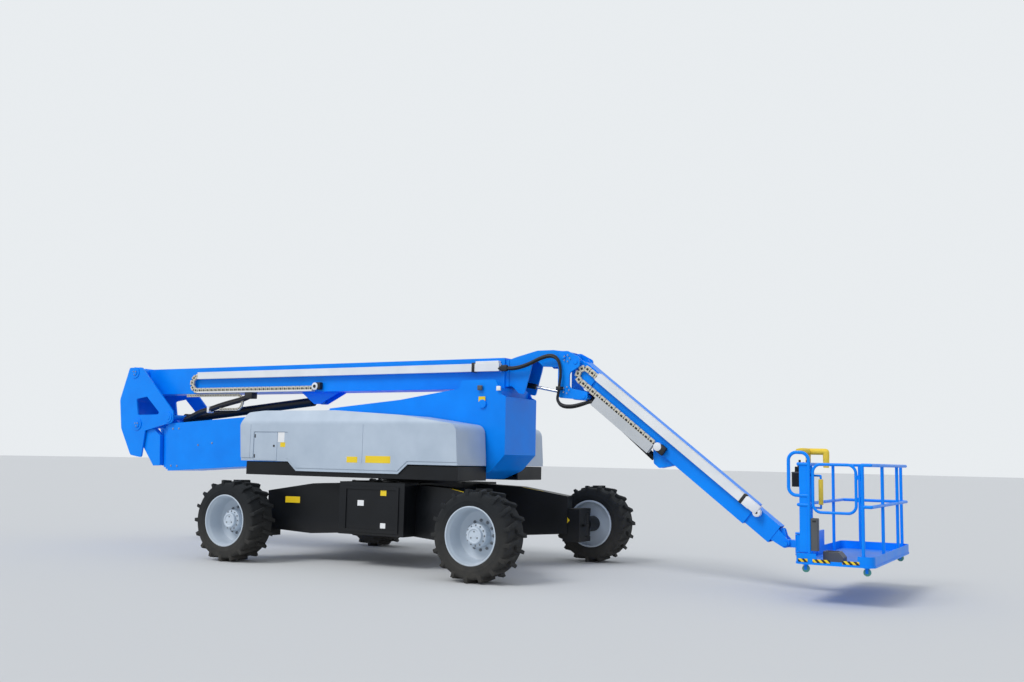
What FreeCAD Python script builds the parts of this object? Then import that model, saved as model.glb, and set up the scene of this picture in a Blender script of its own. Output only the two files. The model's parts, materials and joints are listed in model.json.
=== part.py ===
import FreeCAD, Part
import math
import os

import Sketcher
from FreeCAD import Placement, Rotation, Vector

# Articulating boom lift, stowed as it parks. Millimetres and degrees.
# The origin is on the ground in the middle of the stowed length, +X points from the
# elbow at the tail to the platform at the nose, +Z is up.

SIZES = {
    # Chassis and wheels, from the slewing axis
    "slew_x": -250,
    "wheelbase": 4110,
    "track_width": 3495,
    "tyre_diameter": 1155,
    "tyre_width": 445,
    "lug_count": 17,
    "lug_tall": 45,
    "lug_wide": 55,
    "lug_sweep": 69,
    "lug_overlap": 15,
    "rim_diameter": 710,
    "rim_wall": 24,
    "disc_set_in": 60,
    "hub_radius": 150,
    "spindle_radius": 50,
    "kingpin_inset": 417.5,
    "kingpin_radius": 40,
    "yoke_radius": 100,
    "yoke_height": 485,
    "ear_thick": 70,
    "box_length": 1120,
    "box_width": 2500,
    "box_low": 440,
    "chassis_top": 1170,
    "beam_root_y": 800,
    "beam_tip_x": 1930,
    "beam_tip_y": 1090,
    "beam_wide": 300,
    "beam_low": 400,
    "chassis_wall": 20,
    "panel_frame": 40,
    "panel_proud": 14,
    "tie_radius": 22,
    "tie_half": 12.5,
    "ring_radius": 600,
    "ring_step": 30,
    # Turntable
    "deck_low": 1225,
    "deck_skin": 45,
    "deck_tail": 2390,
    "deck_nose": 1380,
    "deck_half": 1245,
    "side_inner": 425,
    "side_thick": 30,
    "hood_inner": 480,
    "hood_top": 2185,
    "hood_wall": 25,
    "hood_tail": 2520,
    "hood_nose": 1390,
    "hood_low": 1430,
    "hood_deep": 1295,
    "hood_step_tail": 1560,
    "hood_step_nose": 420,
    "hood_step_run": 160,
    "hood_knee": 2010,
    "hood_lip": 45,
    "hood_lip_in": 9,
    "hood_seam_tail": 2302,
    "hood_seam_nose": 190,
    "hood_seam_wide": 7,
    "door_tail": 2225,
    "door_nose": 1780,
    "door_shelf": 200,
    "door_tall": 410,
    "engine_long": 1150,
    "engine_wide": 560,
    "engine_tall": 560,
    # Secondary boom: the lower boom, from its pivot at the nose of the turntable
    "secondary_pivot_x": 1300,
    "secondary_pivot_z": 2300,
    "secondary_slope": 3.5,
    "secondary_drop": 301,
    "secondary_half": 400,
    "secondary_tail": 250,
    "secondary_long": 6050,
    "secondary_step": 32,
    "secondary_wall": 12,
    "secondary_peep": 80,
    "lift_base_x": 550,
    "lift_base_z": 1400,
    "lift_rod_along": 3053,
    "lift_rod_below": 775,
    # Elbow
    "elbow_x": -5690,
    "elbow_z": 2000,
    "elbow_pin_radius": 60,
    "apex_along": 750,
    "apex_up": 120,
    # Primary boom: the upper boom
    "primary_back": 120,
    "primary_rise": 900,
    "primary_drop": 150,
    "primary_long": 7390,
    "primary_wide": 420,
    "primary_tall": 440,
    "primary_step": 28,
    "primary_wall": 10,
    "primary_peep": 60,
    "raise_rod_along": 3810,
    "raise_rod_below": 500,
    # Cable carriers beside the booms: troughs, trays and the chains that lie in them
    "trough_tail": 1330,
    "trough_nose": 7260,
    "trough_down": 80,
    "trough_tall": 115,
    "trough_wide": 80,
    "tray_long": 2520,
    "tray_tall": 72,
    "chain_tall": 82,
    "chain_wide": 38,
    "carrier_wall": 6,
    "jib_trough_start": 370,
    "jib_trough_end": 3050,
    "jib_trough_up": 15,
    "jib_trough_wide": 74,
    "jib_tray_start": 535,
    "jib_tray_end": 1580,
    "jib_tray_tall": 145,
    # Jib link and jib
    "link_reach": 8260,
    "link_rise": 60,
    "jib_ahead": 180,
    "jib_below": 80,
    "jib_angle": 38,
    "jib_long": 3050,
    "jib_wide": 240,
    "jib_tall": 300,
    "jib_drop": 80,
    "jib_wall": 8,
    "jib_step": 22,
    "jib_tip_ahead": 549,
    "level_base_along": 7010,
    "level_base_below": 200,
    "level_rod_back": 30,
    "level_rod_below": 500,
    "link_inner": 200,
    "link_thick": 30,
    "jib_base_ahead": 310,
    "jib_base_below": 560,
    "jib_rod_along": 1750,
    "jib_rod_below": 360,
    "ear_back": 139,
    "ear_offset": 85,
    # Platform
    "rotator_ahead": 175,
    "platform_ahead": 390,
    "platform_deep": 865,
    "platform_wide": 2440,
    "platform_drop": 130.4,
    "rail_rise": 1105,
    "rail_radius": 19,
    "rail_bend": 90,
    "pad_radius": 38,
    "pad_rise": 150,
    "toe_rise": 120,
    # Shared clearances and pins
    "pin_gap": 0.3,
    "slide_gap": 0.5,
    "body_gap": 6,
    "pin_radius": 45,
}

doc = FreeCAD.newDocument("BoomLift")
sheet = doc.addObject("Spreadsheet::Sheet", "Sizes")
for row, (alias, number) in enumerate(SIZES.items(), start=1):
    sheet.set(f"A{row}", alias)
    sheet.set(f"B{row}", str(number))
    sheet.setAlias(f"B{row}", alias)
places = doc.addObject("App::VarSet", "Places")
doc.recompute()


class Size:
    """A number together with the formula over the sheet that gives it."""

    def __init__(self, value, text):
        self.value = float(value)
        self.text = text

    def __add__(self, other):
        other = sized(other)
        return Size(self.value + other.value, f"({self.text} + {other.text})")

    def __sub__(self, other):
        other = sized(other)
        return Size(self.value - other.value, f"({self.text} - {other.text})")

    def __mul__(self, other):
        other = sized(other)
        return Size(self.value * other.value, f"({self.text} * {other.text})")

    def __truediv__(self, other):
        other = sized(other)
        return Size(self.value / other.value, f"({self.text} / {other.text})")

    def __radd__(self, other):
        return sized(other) + self

    def __rsub__(self, other):
        return sized(other) - self

    def __rmul__(self, other):
        return sized(other) * self

    def __neg__(self):
        return Size(-self.value, f"(0 - {self.text})")


def sized(number):
    """A plain number as a Size, so that both mix in one formula."""
    if isinstance(number, Size):
        return number
    return Size(number, f"{number:.6g}" if number >= 0 else f"(0 - {-number:.6g})")


def size(alias):
    """One driving dimension of the sheet."""
    return Size(SIZES[alias], f"Sizes.{alias}")


def kept(name, number):
    """Keeps a worked-out place under a name, so that later formulas stay short."""
    places.addProperty("App::PropertyFloat", name)
    places.setExpression(name, number.text)
    return Size(number.value, f"Places.{name}")


def sine(angle):
    return Size(math.sin(math.radians(angle.value)), f"sin({angle.text})")


def cosine(angle):
    return Size(math.cos(math.radians(angle.value)), f"cos({angle.text})")


def root_of_squares(a, b):
    return Size(math.hypot(a.value, b.value), f"sqrt({a.text} ^ 2 + {b.text} ^ 2)")


def root_of_minus(a, b):
    return Size(math.sqrt(a.value ** 2 - b.value ** 2), f"sqrt({a.text} ^ 2 - {b.text} ^ 2)")


def heading(run, rise):
    """The angle whose tangent is rise over run."""
    return Size(math.degrees(math.atan2(rise.value, run.value)), f"atan2({rise.text}; {run.text})")


def in_order(pair):
    """The pair as (low, high), for places that are mirrored from side to side."""
    return tuple(sorted((sized(number) for number in pair), key=lambda number: number.value))


class Place:
    """Where a piece's own frame stands: a point, and a turn about one axis."""

    def __init__(self, x=0, y=0, z=0, turn=0, axis=(0, 1, 0)):
        self.x, self.y, self.z = sized(x), sized(y), sized(z)
        self.turn = sized(turn)
        self.axis = Vector(*axis)

    def point(self, along, up):
        """A point of this frame's XZ plane, for a frame that is turned about Y."""
        c, s = cosine(self.turn), sine(self.turn)
        return self.x + along * c + up * s, self.z - along * s + up * c


GROUND = Place()


def stand(thing, place):
    """Binds an object's Placement to a Place."""
    thing.Placement = Placement(
        Vector(place.x.value, place.y.value, place.z.value), Rotation(place.axis, place.turn.value)
    )
    for name, number in (("x", place.x), ("y", place.y), ("z", place.z)):
        thing.setExpression(f"Placement.Base.{name}", number.text)
    if "Size" in place.turn.text or "Places" in place.turn.text:
        thing.setExpression("Placement.Rotation.Angle", place.turn.text)
    return thing


def bind(thing, **numbers):
    for name, number in numbers.items():
        number = sized(number)
        setattr(thing, name, number.value)
        thing.setExpression(name, number.text)
    return thing


made = 0


def fresh(word):
    """A name for an unnamed piece of a boolean."""
    global made
    made += 1
    return f"{word}_{made}"


def block(x, y, z):
    """A box between two places on each axis, given as (low, high) pairs."""
    low = [sized(pair[0]) for pair in (x, y, z)]
    high = [sized(pair[1]) for pair in (x, y, z)]
    thing = doc.addObject("Part::Box", fresh("block"))
    bind(thing, Length=high[0] - low[0], Width=high[1] - low[1], Height=high[2] - low[2])
    return stand(thing, Place(*low))


def bar(axis, a, b, radius, start, end):
    """A round bar along one axis: a and b are its place on the other two axes, in order."""
    start, end = sized(start), sized(end)
    thing = doc.addObject("Part::Cylinder", fresh("bar"))
    bind(thing, Radius=radius, Height=end - start)
    if axis == "z":
        return stand(thing, Place(a, b, start))
    if axis == "y":
        return stand(thing, Place(a, start, b, -90, (1, 0, 0)))
    return stand(thing, Place(start, a, b, 90, (0, 1, 0)))


def joined(kind, pieces, name=None):
    if len(pieces) == 1:
        return pieces[0]
    thing = doc.addObject(kind, name or fresh("join"))
    if kind == "Part::Compound":
        thing.Links = pieces
    else:
        thing.Shapes = pieces
    return thing


def fuse(*pieces, name=None):
    return joined("Part::MultiFuse", list(pieces), name)


def apart(*pieces, name=None):
    """Solids that don't touch, kept under one name."""
    return joined("Part::Compound", list(pieces), name)


def cut(base, *tools, name=None):
    thing = doc.addObject("Part::Cut", name or fresh("cut"))
    thing.Base = base
    thing.Tool = fuse(*tools)
    return thing


def sketch_on(body, role, outline):
    """A closed outline of lines, whose corners are rounded where a third number is given."""
    plane = [f for f in body.Origin.OriginFeatures if f.Role == role][0]
    sketch = body.newObject("Sketcher::SketchObject", fresh("outline"))
    sketch.AttachmentSupport = [(plane, "")]
    sketch.MapMode = "FlatFace"
    corners = [(sized(p[0]), sized(p[1]), sized(p[2]) if len(p) > 2 else None) for p in outline]
    count = len(corners)
    spots = [Vector(u.value, v.value, 0) for u, v, _ in corners]

    def pinned(geometry, end, corner):
        for kind, number in (("DistanceX", corner[0]), ("DistanceY", corner[1])):
            held = sketch.addConstraint(Sketcher.Constraint(kind, -1, 1, geometry, end, number.value))
            sketch.setExpression(f"Constraints[{held}]", number.text)

    # The ends of each side, short of a rounded corner by the length of its tangent
    ends = []
    for i, (u, v, r) in enumerate(corners):
        before = (spots[i - 1] - spots[i]).normalize()
        after = (spots[(i + 1) % count] - spots[i]).normalize()
        if r is None:
            ends.append((spots[i], spots[i], None))
            continue
        half = before.getAngle(after) / 2
        tangent = r.value / math.tan(half)
        centre = spots[i] + (before + after).normalize() * (r.value / math.sin(half))
        ends.append((spots[i] + before * tangent, spots[i] + after * tangent, centre))
    sides = [
        sketch.addGeometry(Part.LineSegment(ends[i][1], ends[(i + 1) % count][0]), False)
        for i in range(count)
    ]
    for i, corner in enumerate(corners):
        arriving, leaving = sides[i - 1], sides[i]
        if corner[2] is None:
            sketch.addConstraint(Sketcher.Constraint("Coincident", arriving, 2, leaving, 1))
            pinned(leaving, 1, corner)
            continue
        first, last, centre = ends[i]
        middle = centre + (spots[i] - centre).normalize() * corner[2].value
        arc = sketch.addGeometry(Part.Arc(first, middle, last), False)
        turned = (first - centre).cross(last - centre).z > 0
        begin, finish = (1, 2) if turned else (2, 1)
        sketch.addConstraint(Sketcher.Constraint("Tangent", arriving, 2, arc, begin))
        sketch.addConstraint(Sketcher.Constraint("Tangent", arc, finish, leaving, 1))
        held = sketch.addConstraint(Sketcher.Constraint("Radius", arc, corner[2].value))
        sketch.setExpression(f"Constraints[{held}]", corner[2].text)
        tip = sketch.addGeometry(Part.Point(spots[i]), True)
        pinned(tip, 1, corner)
        sketch.addConstraint(Sketcher.Constraint("PointOnObject", tip, 1, arriving))
        sketch.addConstraint(Sketcher.Constraint("PointOnObject", tip, 1, leaving))
    return sketch


def padded(role, outline, long):
    body = doc.addObject("PartDesign::Body", fresh("plate"))
    sketch = sketch_on(body, role, outline)
    pad = body.newObject("PartDesign::Pad", fresh("pad"))
    pad.Profile = sketch
    sketch.Visibility = False
    bind(pad, Length=long)
    return body, pad


def plate(outline, y):
    """An outline in the XZ plane, as thick as the (low, high) pair in y."""
    low, high = sized(y[0]), sized(y[1])
    body, pad = padded("XZ_Plane", outline, high - low)
    pad.SideType = "Symmetric"
    return stand(body, Place(0, (low + high) / 2, 0))


def plan(outline, z):
    """An outline in the XY plane, between the two heights in z."""
    low, high = sized(z[0]), sized(z[1])
    body, pad = padded("XY_Plane", outline, high - low)
    return stand(body, Place(0, 0, low))


def across(outline, x):
    """An outline in the YZ plane, between the two places in x."""
    low, high = sized(x[0]), sized(x[1])
    body, pad = padded("YZ_Plane", outline, high - low)
    return stand(body, Place(low, 0, 0))


def turned_about_y(outline):
    """An outline of (radius, y) corners, turned about the Y axis."""
    body = doc.addObject("PartDesign::Body", fresh("turning"))
    sketch = sketch_on(body, "XY_Plane", outline)
    turning = body.newObject("PartDesign::Revolution", fresh("turn"))
    turning.Profile = sketch
    turning.ReferenceAxis = (sketch, ["V_Axis"])
    turning.Angle = 360
    sketch.Visibility = False
    return body


def both_sides(make, inner, thick):
    """Makes a plate on each side of the middle plane, inner from it and so thick."""
    outer = inner + thick
    return [make((-outer, -inner)), make((inner, outer))]


nodes = {}


def node(name, thing, place=GROUND):
    """Names one finished sub-part and stands it in its frame."""
    thing.Label = name
    if place is not GROUND:
        stand(thing, place)
    nodes[name] = thing
    return thing


# Places that several sub-assemblies share
LIFT_BASE = (size("lift_base_x"), size("lift_base_z"))
slew = size("slew_x")
gap = size("pin_gap")
pin = size("pin_radius")
axle_z = size("tyre_diameter") / 2
side_out = size("side_inner") + size("side_thick")
PIVOT = Place(slew + size("secondary_pivot_x"), 0, size("secondary_pivot_z"), -size("secondary_slope"))
ELBOW = Place(slew + size("elbow_x"), 0, sized(size("elbow_z")))
SHOULDER = Place(ELBOW.x - size("primary_back"), 0, ELBOW.z + size("primary_rise"))
LINK = Place(
    kept("link_x", SHOULDER.x + size("link_reach")), 0, kept("link_z", SHOULDER.z + size("link_rise"))
)
JIB = Place(LINK.x + size("jib_ahead"), 0, LINK.z - size("jib_below"), size("jib_angle"))
JIB_MOUTH = size("jib_long") + 50
JIB_REACH = JIB_MOUTH + size("jib_tip_ahead")
tip_x, tip_z = JIB.point(JIB_REACH, -size("jib_drop"))
TIP = Place(kept("tip_x", tip_x), 0, kept("tip_z", tip_z))


def in_frame(place, x, z):
    """The (along, up) of a point of the XZ plane, seen from a frame that is turned about Y."""
    c, s = cosine(place.turn), sine(place.turn)
    run, rise = x - place.x, z - place.z
    return run * c - rise * s, run * s + rise * c


pin_u, pin_w = in_frame(PIVOT, ELBOW.x, ELBOW.z)
ELBOW_IN_BOOM = (kept("elbow_u", pin_u), kept("elbow_w", pin_w))

def turned_copies(thing, count, first):
    """Copies of a piece, evenly spaced round the Y axis, the first one turned by an angle."""
    copies = []
    for index in range(count):
        copy = doc.addObject("Part::Compound", fresh("copy"))
        copy.Links = [thing]
        copies.append(stand(copy, Place(turn=first + 360 / count * index)))
    return copies


lug_reach = (size("lug_sweep") + size("lug_wide")) / 2
lug_top = kept("lug_top", root_of_minus(size("tyre_diameter") / 2, lug_reach))


def tyre_half(side):
    """One half of a tyre: a ring of flats with a slanted lug on each, half a pitch from the other
    half's. The lugs' flat tops are let in so far that their corners keep the tyre's diameter."""
    count, half = SIZES["lug_count"], size("tyre_width") / 2
    half_pitch = 180 / count
    root = size("tyre_diameter") / 2 - size("lug_tall")
    ring = doc.addObject("Part::Prism", fresh("ring"))
    ring.Polygon = count
    bind(ring, Circumradius=root / cosine(sized(half_pitch)), Height=half)
    stand(ring, Place(0, half * min(side, 0), 0, -90, (1, 0, 0)))
    overlap = size("lug_overlap") * -side
    lug = across(
        [
            (half * side, -lug_reach),
            (half * side, size("lug_wide") - lug_reach),
            (overlap, lug_reach),
            (overlap, lug_reach - size("lug_wide")),
        ],
        (root - 20, lug_top),
    )
    if side < 0:
        return turned_copies(ring, 1, half_pitch) + turned_copies(lug, count, 0)
    return [ring] + turned_copies(lug, count, half_pitch)


tyre_halves = []


def tyre():
    """Both halves made one, bored for the rim. The four tyres share their halves."""
    if not tyre_halves:
        tyre_halves.extend(tyre_half(-1) + tyre_half(1))
    bore = bar("y", 0, 0, size("rim_diameter") / 2, -size("tyre_width"), size("tyre_width"))
    return cut(fuse(*tyre_halves), bore, name=fresh("tyre"))


CORNERS = (
    # name, along X, along Y
    ("nose_near", 1, -1),
    ("nose_far", 1, 1),
    ("tail_near", -1, -1),
    ("tail_far", -1, 1),
)


def wheel_and_knuckle(name, fore, side):
    """One wheel on its knuckle. Places in y are written outwards from the wheel's middle."""
    x = slew + fore * size("wheelbase") / 2
    middle = side * size("track_width") / 2
    centre = Place(x, middle, axle_z)
    half, seat = size("tyre_width") / 2, size("rim_diameter") / 2
    inner = seat - size("rim_wall")
    node(f"tyre_{name}", tyre(), Place(x, middle, axle_z, heading(lug_top, lug_reach)))
    lip = half - 15
    barrel = turned_about_y([(inner, -lip), (seat, -lip), (seat, lip), (inner, lip)])
    face = size("disc_set_in") * -side
    back = face - 24 * side
    disc = bar("y", 0, 0, inner + 5, *in_order((face, back)))
    hub = bar("y", 0, 0, size("hub_radius"), *in_order((back, sized(75 * side))))
    cap = bar("y", 0, 0, 105, *in_order((sized(70 * side), sized(120 * side))))
    bore_end = sized(60 * side)
    bore = bar(
        "y", 0, 0, size("spindle_radius") + gap, *in_order((back - 1 * side, bore_end))
    )
    rim = cut(fuse(barrel, disc, hub, cap), bore, name=fresh("rim"))
    node(f"rim_{name}", rim, centre)
    pin_y = middle - (size("kingpin_inset")) * side
    reach = size("yoke_height") / 2
    body_reach = reach - size("ear_thick") - size("body_gap")
    kingpin = bar("z", x, pin_y, size("kingpin_radius"), axle_z - reach, axle_z + reach)
    block_z = (axle_z - body_reach, axle_z + body_reach)
    boss = bar("z", x, pin_y, size("yoke_radius") - 5, *block_z)
    housing_end = middle + back - size("body_gap") * side
    housing = bar("y", x, axle_z, 115, *in_order((pin_y, housing_end)))
    spindle_end = middle + bore_end - size("body_gap") * side
    spindle = bar(
        "y", x, axle_z, size("spindle_radius"), *in_order((pin_y, spindle_end))
    )
    node(f"knuckle_{name}", fuse(kingpin, boss, housing, spindle, name=fresh("knuckle")))


for corner in CORNERS:
    wheel_and_knuckle(*corner)


def chassis():
    """The centre box, four beams in an X and the slewing ring's lower half."""
    half_long, half_wide = size("box_length") / 2, size("box_width") / 2
    top, low = size("chassis_top"), size("box_low")
    pieces = [block((slew - half_long, slew + half_long), (-half_wide, half_wide), (low, top))]
    plate_wall = size("chassis_wall")
    holes = [
        block(
            (slew - half_long + plate_wall, slew + half_long - plate_wall),
            (-half_wide + plate_wall, half_wide - plate_wall),
            (low - 1, top - plate_wall * 1.5),
        )
    ]
    root_x, root_y = half_long - 60, size("beam_root_y")
    run, out = size("beam_tip_x") - root_x, size("beam_tip_y") - root_y
    long = kept("beam_long", root_of_squares(run, out))
    beam_half = size("beam_wide") / 2
    reach, ear = size("yoke_height") / 2, size("ear_thick")
    kingpin_x = size("wheelbase") / 2
    kingpin_y = size("track_width") / 2 - size("kingpin_inset")
    radius = size("yoke_radius")
    for name, fore, side in CORNERS:
        beam = plate(
            [
                (0, low),
                (0, top - 20),
                (long * 0.5, top - 50),
                (long, top - 170),
                (long, low + 10),
                (long * 0.5, size("beam_low")),
            ],
            (-beam_half, beam_half),
        )
        beam_hollow = plate(
            [
                (-90, low + 30),
                (-90, top - 60),
                (long * 0.5, top - 50 - plate_wall),
                (long - 180, top - 170 - plate_wall),
                (long - 180, low + 10 + plate_wall),
                (long * 0.5, size("beam_low") + plate_wall),
            ],
            (-beam_half + plate_wall, beam_half - plate_wall),
        )
        turn = heading(run * fore, out * side)
        root = Place(slew + root_x * fore, root_y * side, 0, turn, (0, 0, 1))
        pieces.append(stand(beam, root))
        holes.append(stand(beam_hollow, root))
        x, y = slew + kingpin_x * fore, kingpin_y * side
        back = slew + (size("beam_tip_x") - 50) * fore
        end_x = in_order((back, x + radius * fore))
        end_y = in_order(((size("beam_tip_y") - 130) * side, y - 140 * side))
        pieces.append(block(end_x, end_y, (axle_z - reach, axle_z + reach)))
        ear_y = in_order((y - 150 * side, y))
        for ear_z in ((axle_z - reach, axle_z - reach + ear), (axle_z + reach - ear, axle_z + reach)):
            pieces.append(block((x - radius, x + radius), ear_y, ear_z))
            pieces.append(bar("z", x, y, radius, *ear_z))
        holes.append(
            bar("z", x, y, size("kingpin_radius") + gap, axle_z - reach - 10, axle_z + reach + 10)
        )
        # A flat tie-down lug on the end of each beam, open from above and below
        lug_r, lug_y = size("tie_radius") * 2, (size("beam_tip_y") + 10) * side
        lug_x = x + (radius + size("tie_radius") * 1.8) * fore
        lug_z = (axle_z - size("tie_half"), axle_z + size("tie_half"))
        pieces.append(block(in_order((x, lug_x)), (lug_y - lug_r, lug_y + lug_r), lug_z))
        pieces.append(bar("z", lug_x, lug_y, lug_r, *lug_z))
        holes.append(bar("z", lug_x, lug_y, size("tie_radius"), lug_z[0] - 5, lug_z[1] + 5))
    # The framed panel on each side of the box
    frame, proud = size("panel_frame"), size("panel_proud")
    for side in (-1, 1):
        y = in_order(((half_wide - 1) * side, (half_wide + proud) * side))
        for z in ((low + 40, low + 40 + frame), (top - 60 - frame, top - 60)):
            pieces.append(block((slew - 470, slew + 470), y, z))
        for x in ((slew - 470, slew - 470 + frame), (slew + 470 - frame, slew + 470)):
            pieces.append(block(x, y, (low + 40, top - 60)))
    pieces.append(bar("z", slew, 0, size("ring_radius"), top - 10, top + size("ring_step")))
    node("chassis_frame", cut(fuse(*pieces), *holes, name="chassis_frame"))


chassis()


def turntable():
    """The deck, the blue riser that carries the secondary boom, the engine and the hoods."""
    low, top = size("deck_low"), size("hood_low") - size("body_gap") * 1.5
    half, inner = size("deck_half") - size("hood_wall") - 8, size("side_inner")
    tail, nose = slew - size("deck_tail"), slew + size("deck_nose")
    skin = size("deck_skin")
    weight_end = tail + 750
    pieces = [
        block((tail, nose), (-half, half), (low, low + skin)),
        bar("z", slew, 0, size("ring_radius") - 40, size("chassis_top") + size("ring_step") + gap, low + 5),
    ]
    for side in (-1, 1):
        outer_y = in_order((half * side, (half - 30) * side))
        whole_y = in_order((half * side, side_out * side))
        pieces.append(block((tail, nose), outer_y, (low, top)))
        pieces.append(block((tail, weight_end), whole_y, (low, top)))
        pieces.append(block((nose - 30, nose), whole_y, (low, top)))
    notch = block((slew + 700, nose + 1), (-side_out, side_out), (low - 1, top + 1))
    well = block((weight_end, slew - size("ring_radius")), (-130, 130), (low - 1, low + skin + 1))
    node("turntable_deck", cut(fuse(*pieces), notch, well, name="turntable_deck"))

    outline = [
        (slew - 1600, low + skin),
        (slew - 1450, PIVOT.z - 50),
        (slew - 130, PIVOT.z + 70),
        (PIVOT.x - 410, PIVOT.z + 220),
        (PIVOT.x - 360, PIVOT.z + 340),
        (PIVOT.x + 200, PIVOT.z + 340, 60),
        (PIVOT.x + 300, PIVOT.z + 130),
        (PIVOT.x + 370, PIVOT.z + 100, 30),
        (PIVOT.x + 370, low + 365),
        (PIVOT.x + 150, low + 135, 150),
        (slew + 1160, low + 15),
        (slew + 900, low),
        (slew + 700, low + skin),
    ]
    plates = both_sides(lambda y: plate(outline, y), inner, size("side_thick"))
    face = plate(
        [
            (PIVOT.x + 340, PIVOT.z + 100),
            (PIVOT.x + 370, PIVOT.z + 100),
            (PIVOT.x + 370, low + 365),
            (PIVOT.x + 150, low + 135, 150),
            (slew + 1160, low + 15),
            (slew + 1160, low + 50),
            (PIVOT.x + 130, low + 160, 125),
            (PIVOT.x + 340, low + 380),
        ],
        (-inner - 5, inner + 5),
    )
    rest = block(
        (PIVOT.x + 190, PIVOT.x + 250), (-inner - 5, inner + 5), (PIVOT.z + 100, SHOULDER.z - size("primary_drop")
        - size("primary_tall") / 2 - gap)
    )
    pivot = bar("y", PIVOT.x, PIVOT.z, size("elbow_pin_radius"), -side_out - 25, side_out + 25)
    lift_base = bar("y", slew + LIFT_BASE[0], LIFT_BASE[1], pin, -side_out - 15, side_out + 15)
    hinges = []
    for side in (-1, 1):
        for start in (-1400, -900):
            hinge_x = (slew + start, slew + start + 80)
            hinge_y, hinge_z = (size("hood_inner") - 10) * side, size("hood_top")
            hinges.append(block(hinge_x, in_order(((side_out - 5) * side, hinge_y)), (hinge_z - 8, hinge_z + 8)))
            hinges.append(bar("x", hinge_y, hinge_z, 10 - gap, *hinge_x))
    node("riser", fuse(*plates, face, rest, pivot, lift_base, *hinges, name="riser"))

    engine_x = slew - 1450
    engine_y = inner + size("side_thick") + 60
    node(
        "engine",
        fuse(
            block(
                (engine_x, engine_x + size("engine_long")),
                (engine_y, engine_y + size("engine_wide")),
                (low + skin, low + skin + size("engine_tall")),
            ),
            name="engine",
        ),
    )
    for name, side in (("near", -1), ("far", 1)):
        node(f"hood_{name}", hood(side))


def hood(side):
    """One hood: the meeting of a side outline and a rounded end outline, made hollow. The near
    one has the shelf and the door of the ground controls."""
    wall, top = size("hood_wall"), size("hood_top")
    inner, outer = size("hood_inner"), size("deck_half")
    tail, nose = slew - size("hood_tail"), slew + size("hood_nose")
    low, deep, knee = size("hood_low"), size("hood_deep"), size("hood_knee")
    run = size("hood_step_run")
    step_tail, step_nose = slew - size("hood_step_tail"), slew + size("hood_step_nose")

    def lower_edge(up):
        """From the nose to the tail, so far above the hood's real lower edge."""
        return [
            (step_nose + run, low + up),
            (step_nose, deep + up),
            (step_tail + run, deep + up),
            (step_tail, low + up),
        ]

    def shell(inset, drop, past):
        outline = [
            (tail + 40 + inset, low - drop),
            (tail + inset, 1960, 60),
            (tail + 90 + inset, top - 30 - inset, 90),
            (tail + 380, top - inset),
            (slew - 790, top - inset),
            (slew + 440, top - 75 - inset),
            (nose - 35 - inset, 1985 - inset, 130),
            (nose - inset, low - drop),
            *lower_edge(-drop),
        ]
        side_form = plate(outline, in_order(((inner - past) * side, (outer - inset) * side)))
        section = [
            ((inner - past) * side, 1200 - drop),
            ((inner - past) * side, top + 20 - inset),
            ((outer - 90) * side, top + 10 - inset, 120),
            ((outer - inset) * side, knee - inset, 140),
            ((outer - inset) * side, 1200 - drop),
        ]
        end_form = across(section, (tail - 80, nose + 110))
        thing = doc.addObject("Part::Common", fresh("hood"))
        thing.Base = side_form
        thing.Tool = end_form
        return thing

    def let_in(depth):
        return in_order(((outer - depth) * side, (outer + 1) * side))

    lip = size("hood_lip")
    lip_band = [
        (nose + 1, low - 1),
        (nose + 1, low + lip),
        *lower_edge(lip),
        (tail - 1, low + lip),
        (tail - 1, low - 1),
        *reversed(lower_edge(-1)),
    ]
    seam_half = size("hood_seam_wide") / 2
    grooves = [
        block((slew - at - seam_half, slew - at + seam_half), let_in(5), (low, knee - 40))
        for at in (size("hood_seam_tail"), size("hood_seam_nose"))
    ]
    hollow = shell(wall, 250, 10)
    lip_cut = plate(lip_band, let_in(size("hood_lip_in")))
    if side > 0:
        return cut(shell(sized(0), 0, 0), hollow, lip_cut, *grooves, name=fresh("hood"))
    door_x = (slew - size("door_tail"), slew - size("door_nose"))
    door_z = (low + 10, low + 10 + size("door_tall"))
    shelf = block(
        (door_x[0] - 15, door_x[1] + size("door_shelf")), let_in(12), (low - 1, door_z[1] + 15)
    )
    door = block(door_x, in_order(((outer - 5) * side, (outer - 16) * side)), door_z)
    return fuse(cut(shell(sized(0), 0, 0), hollow, lip_cut, shelf, *grooves), door, name=fresh("hood"))


def section(names, index, tail, mouth, wide, tall, middle, step, wall, collar, tail_apart):
    """One tube of a telescope along X: each next tube is a step smaller all round, starts
    tail_apart further on, and slides on the collar at the mouth and the shoe at its own tail."""
    ahead = 1 if mouth.value > tail.value else -1
    half_y, half_z = wide / 2 - step * index, tall / 2 - step * index
    start = tail + tail_apart * index * ahead
    slide = size("slide_gap")

    def solid(x, less):
        return block(
            in_order(x),
            (-half_y + less, half_y - less),
            (middle - half_z + less, middle + half_z - less),
        )

    outside = [solid((start, mouth), 0)]
    if index:
        outside.append(solid((start, start + collar * ahead), wall + slide - step))
    last = index == len(names) - 1
    inside_end = mouth + 1 * ahead if last else mouth - collar * ahead
    inside = [solid((start - 1 * ahead, inside_end), wall)]
    if not last:
        inside.append(solid((inside_end - 1 * ahead, mouth + 1 * ahead), step - slide))
    return fuse(*outside), inside


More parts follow.
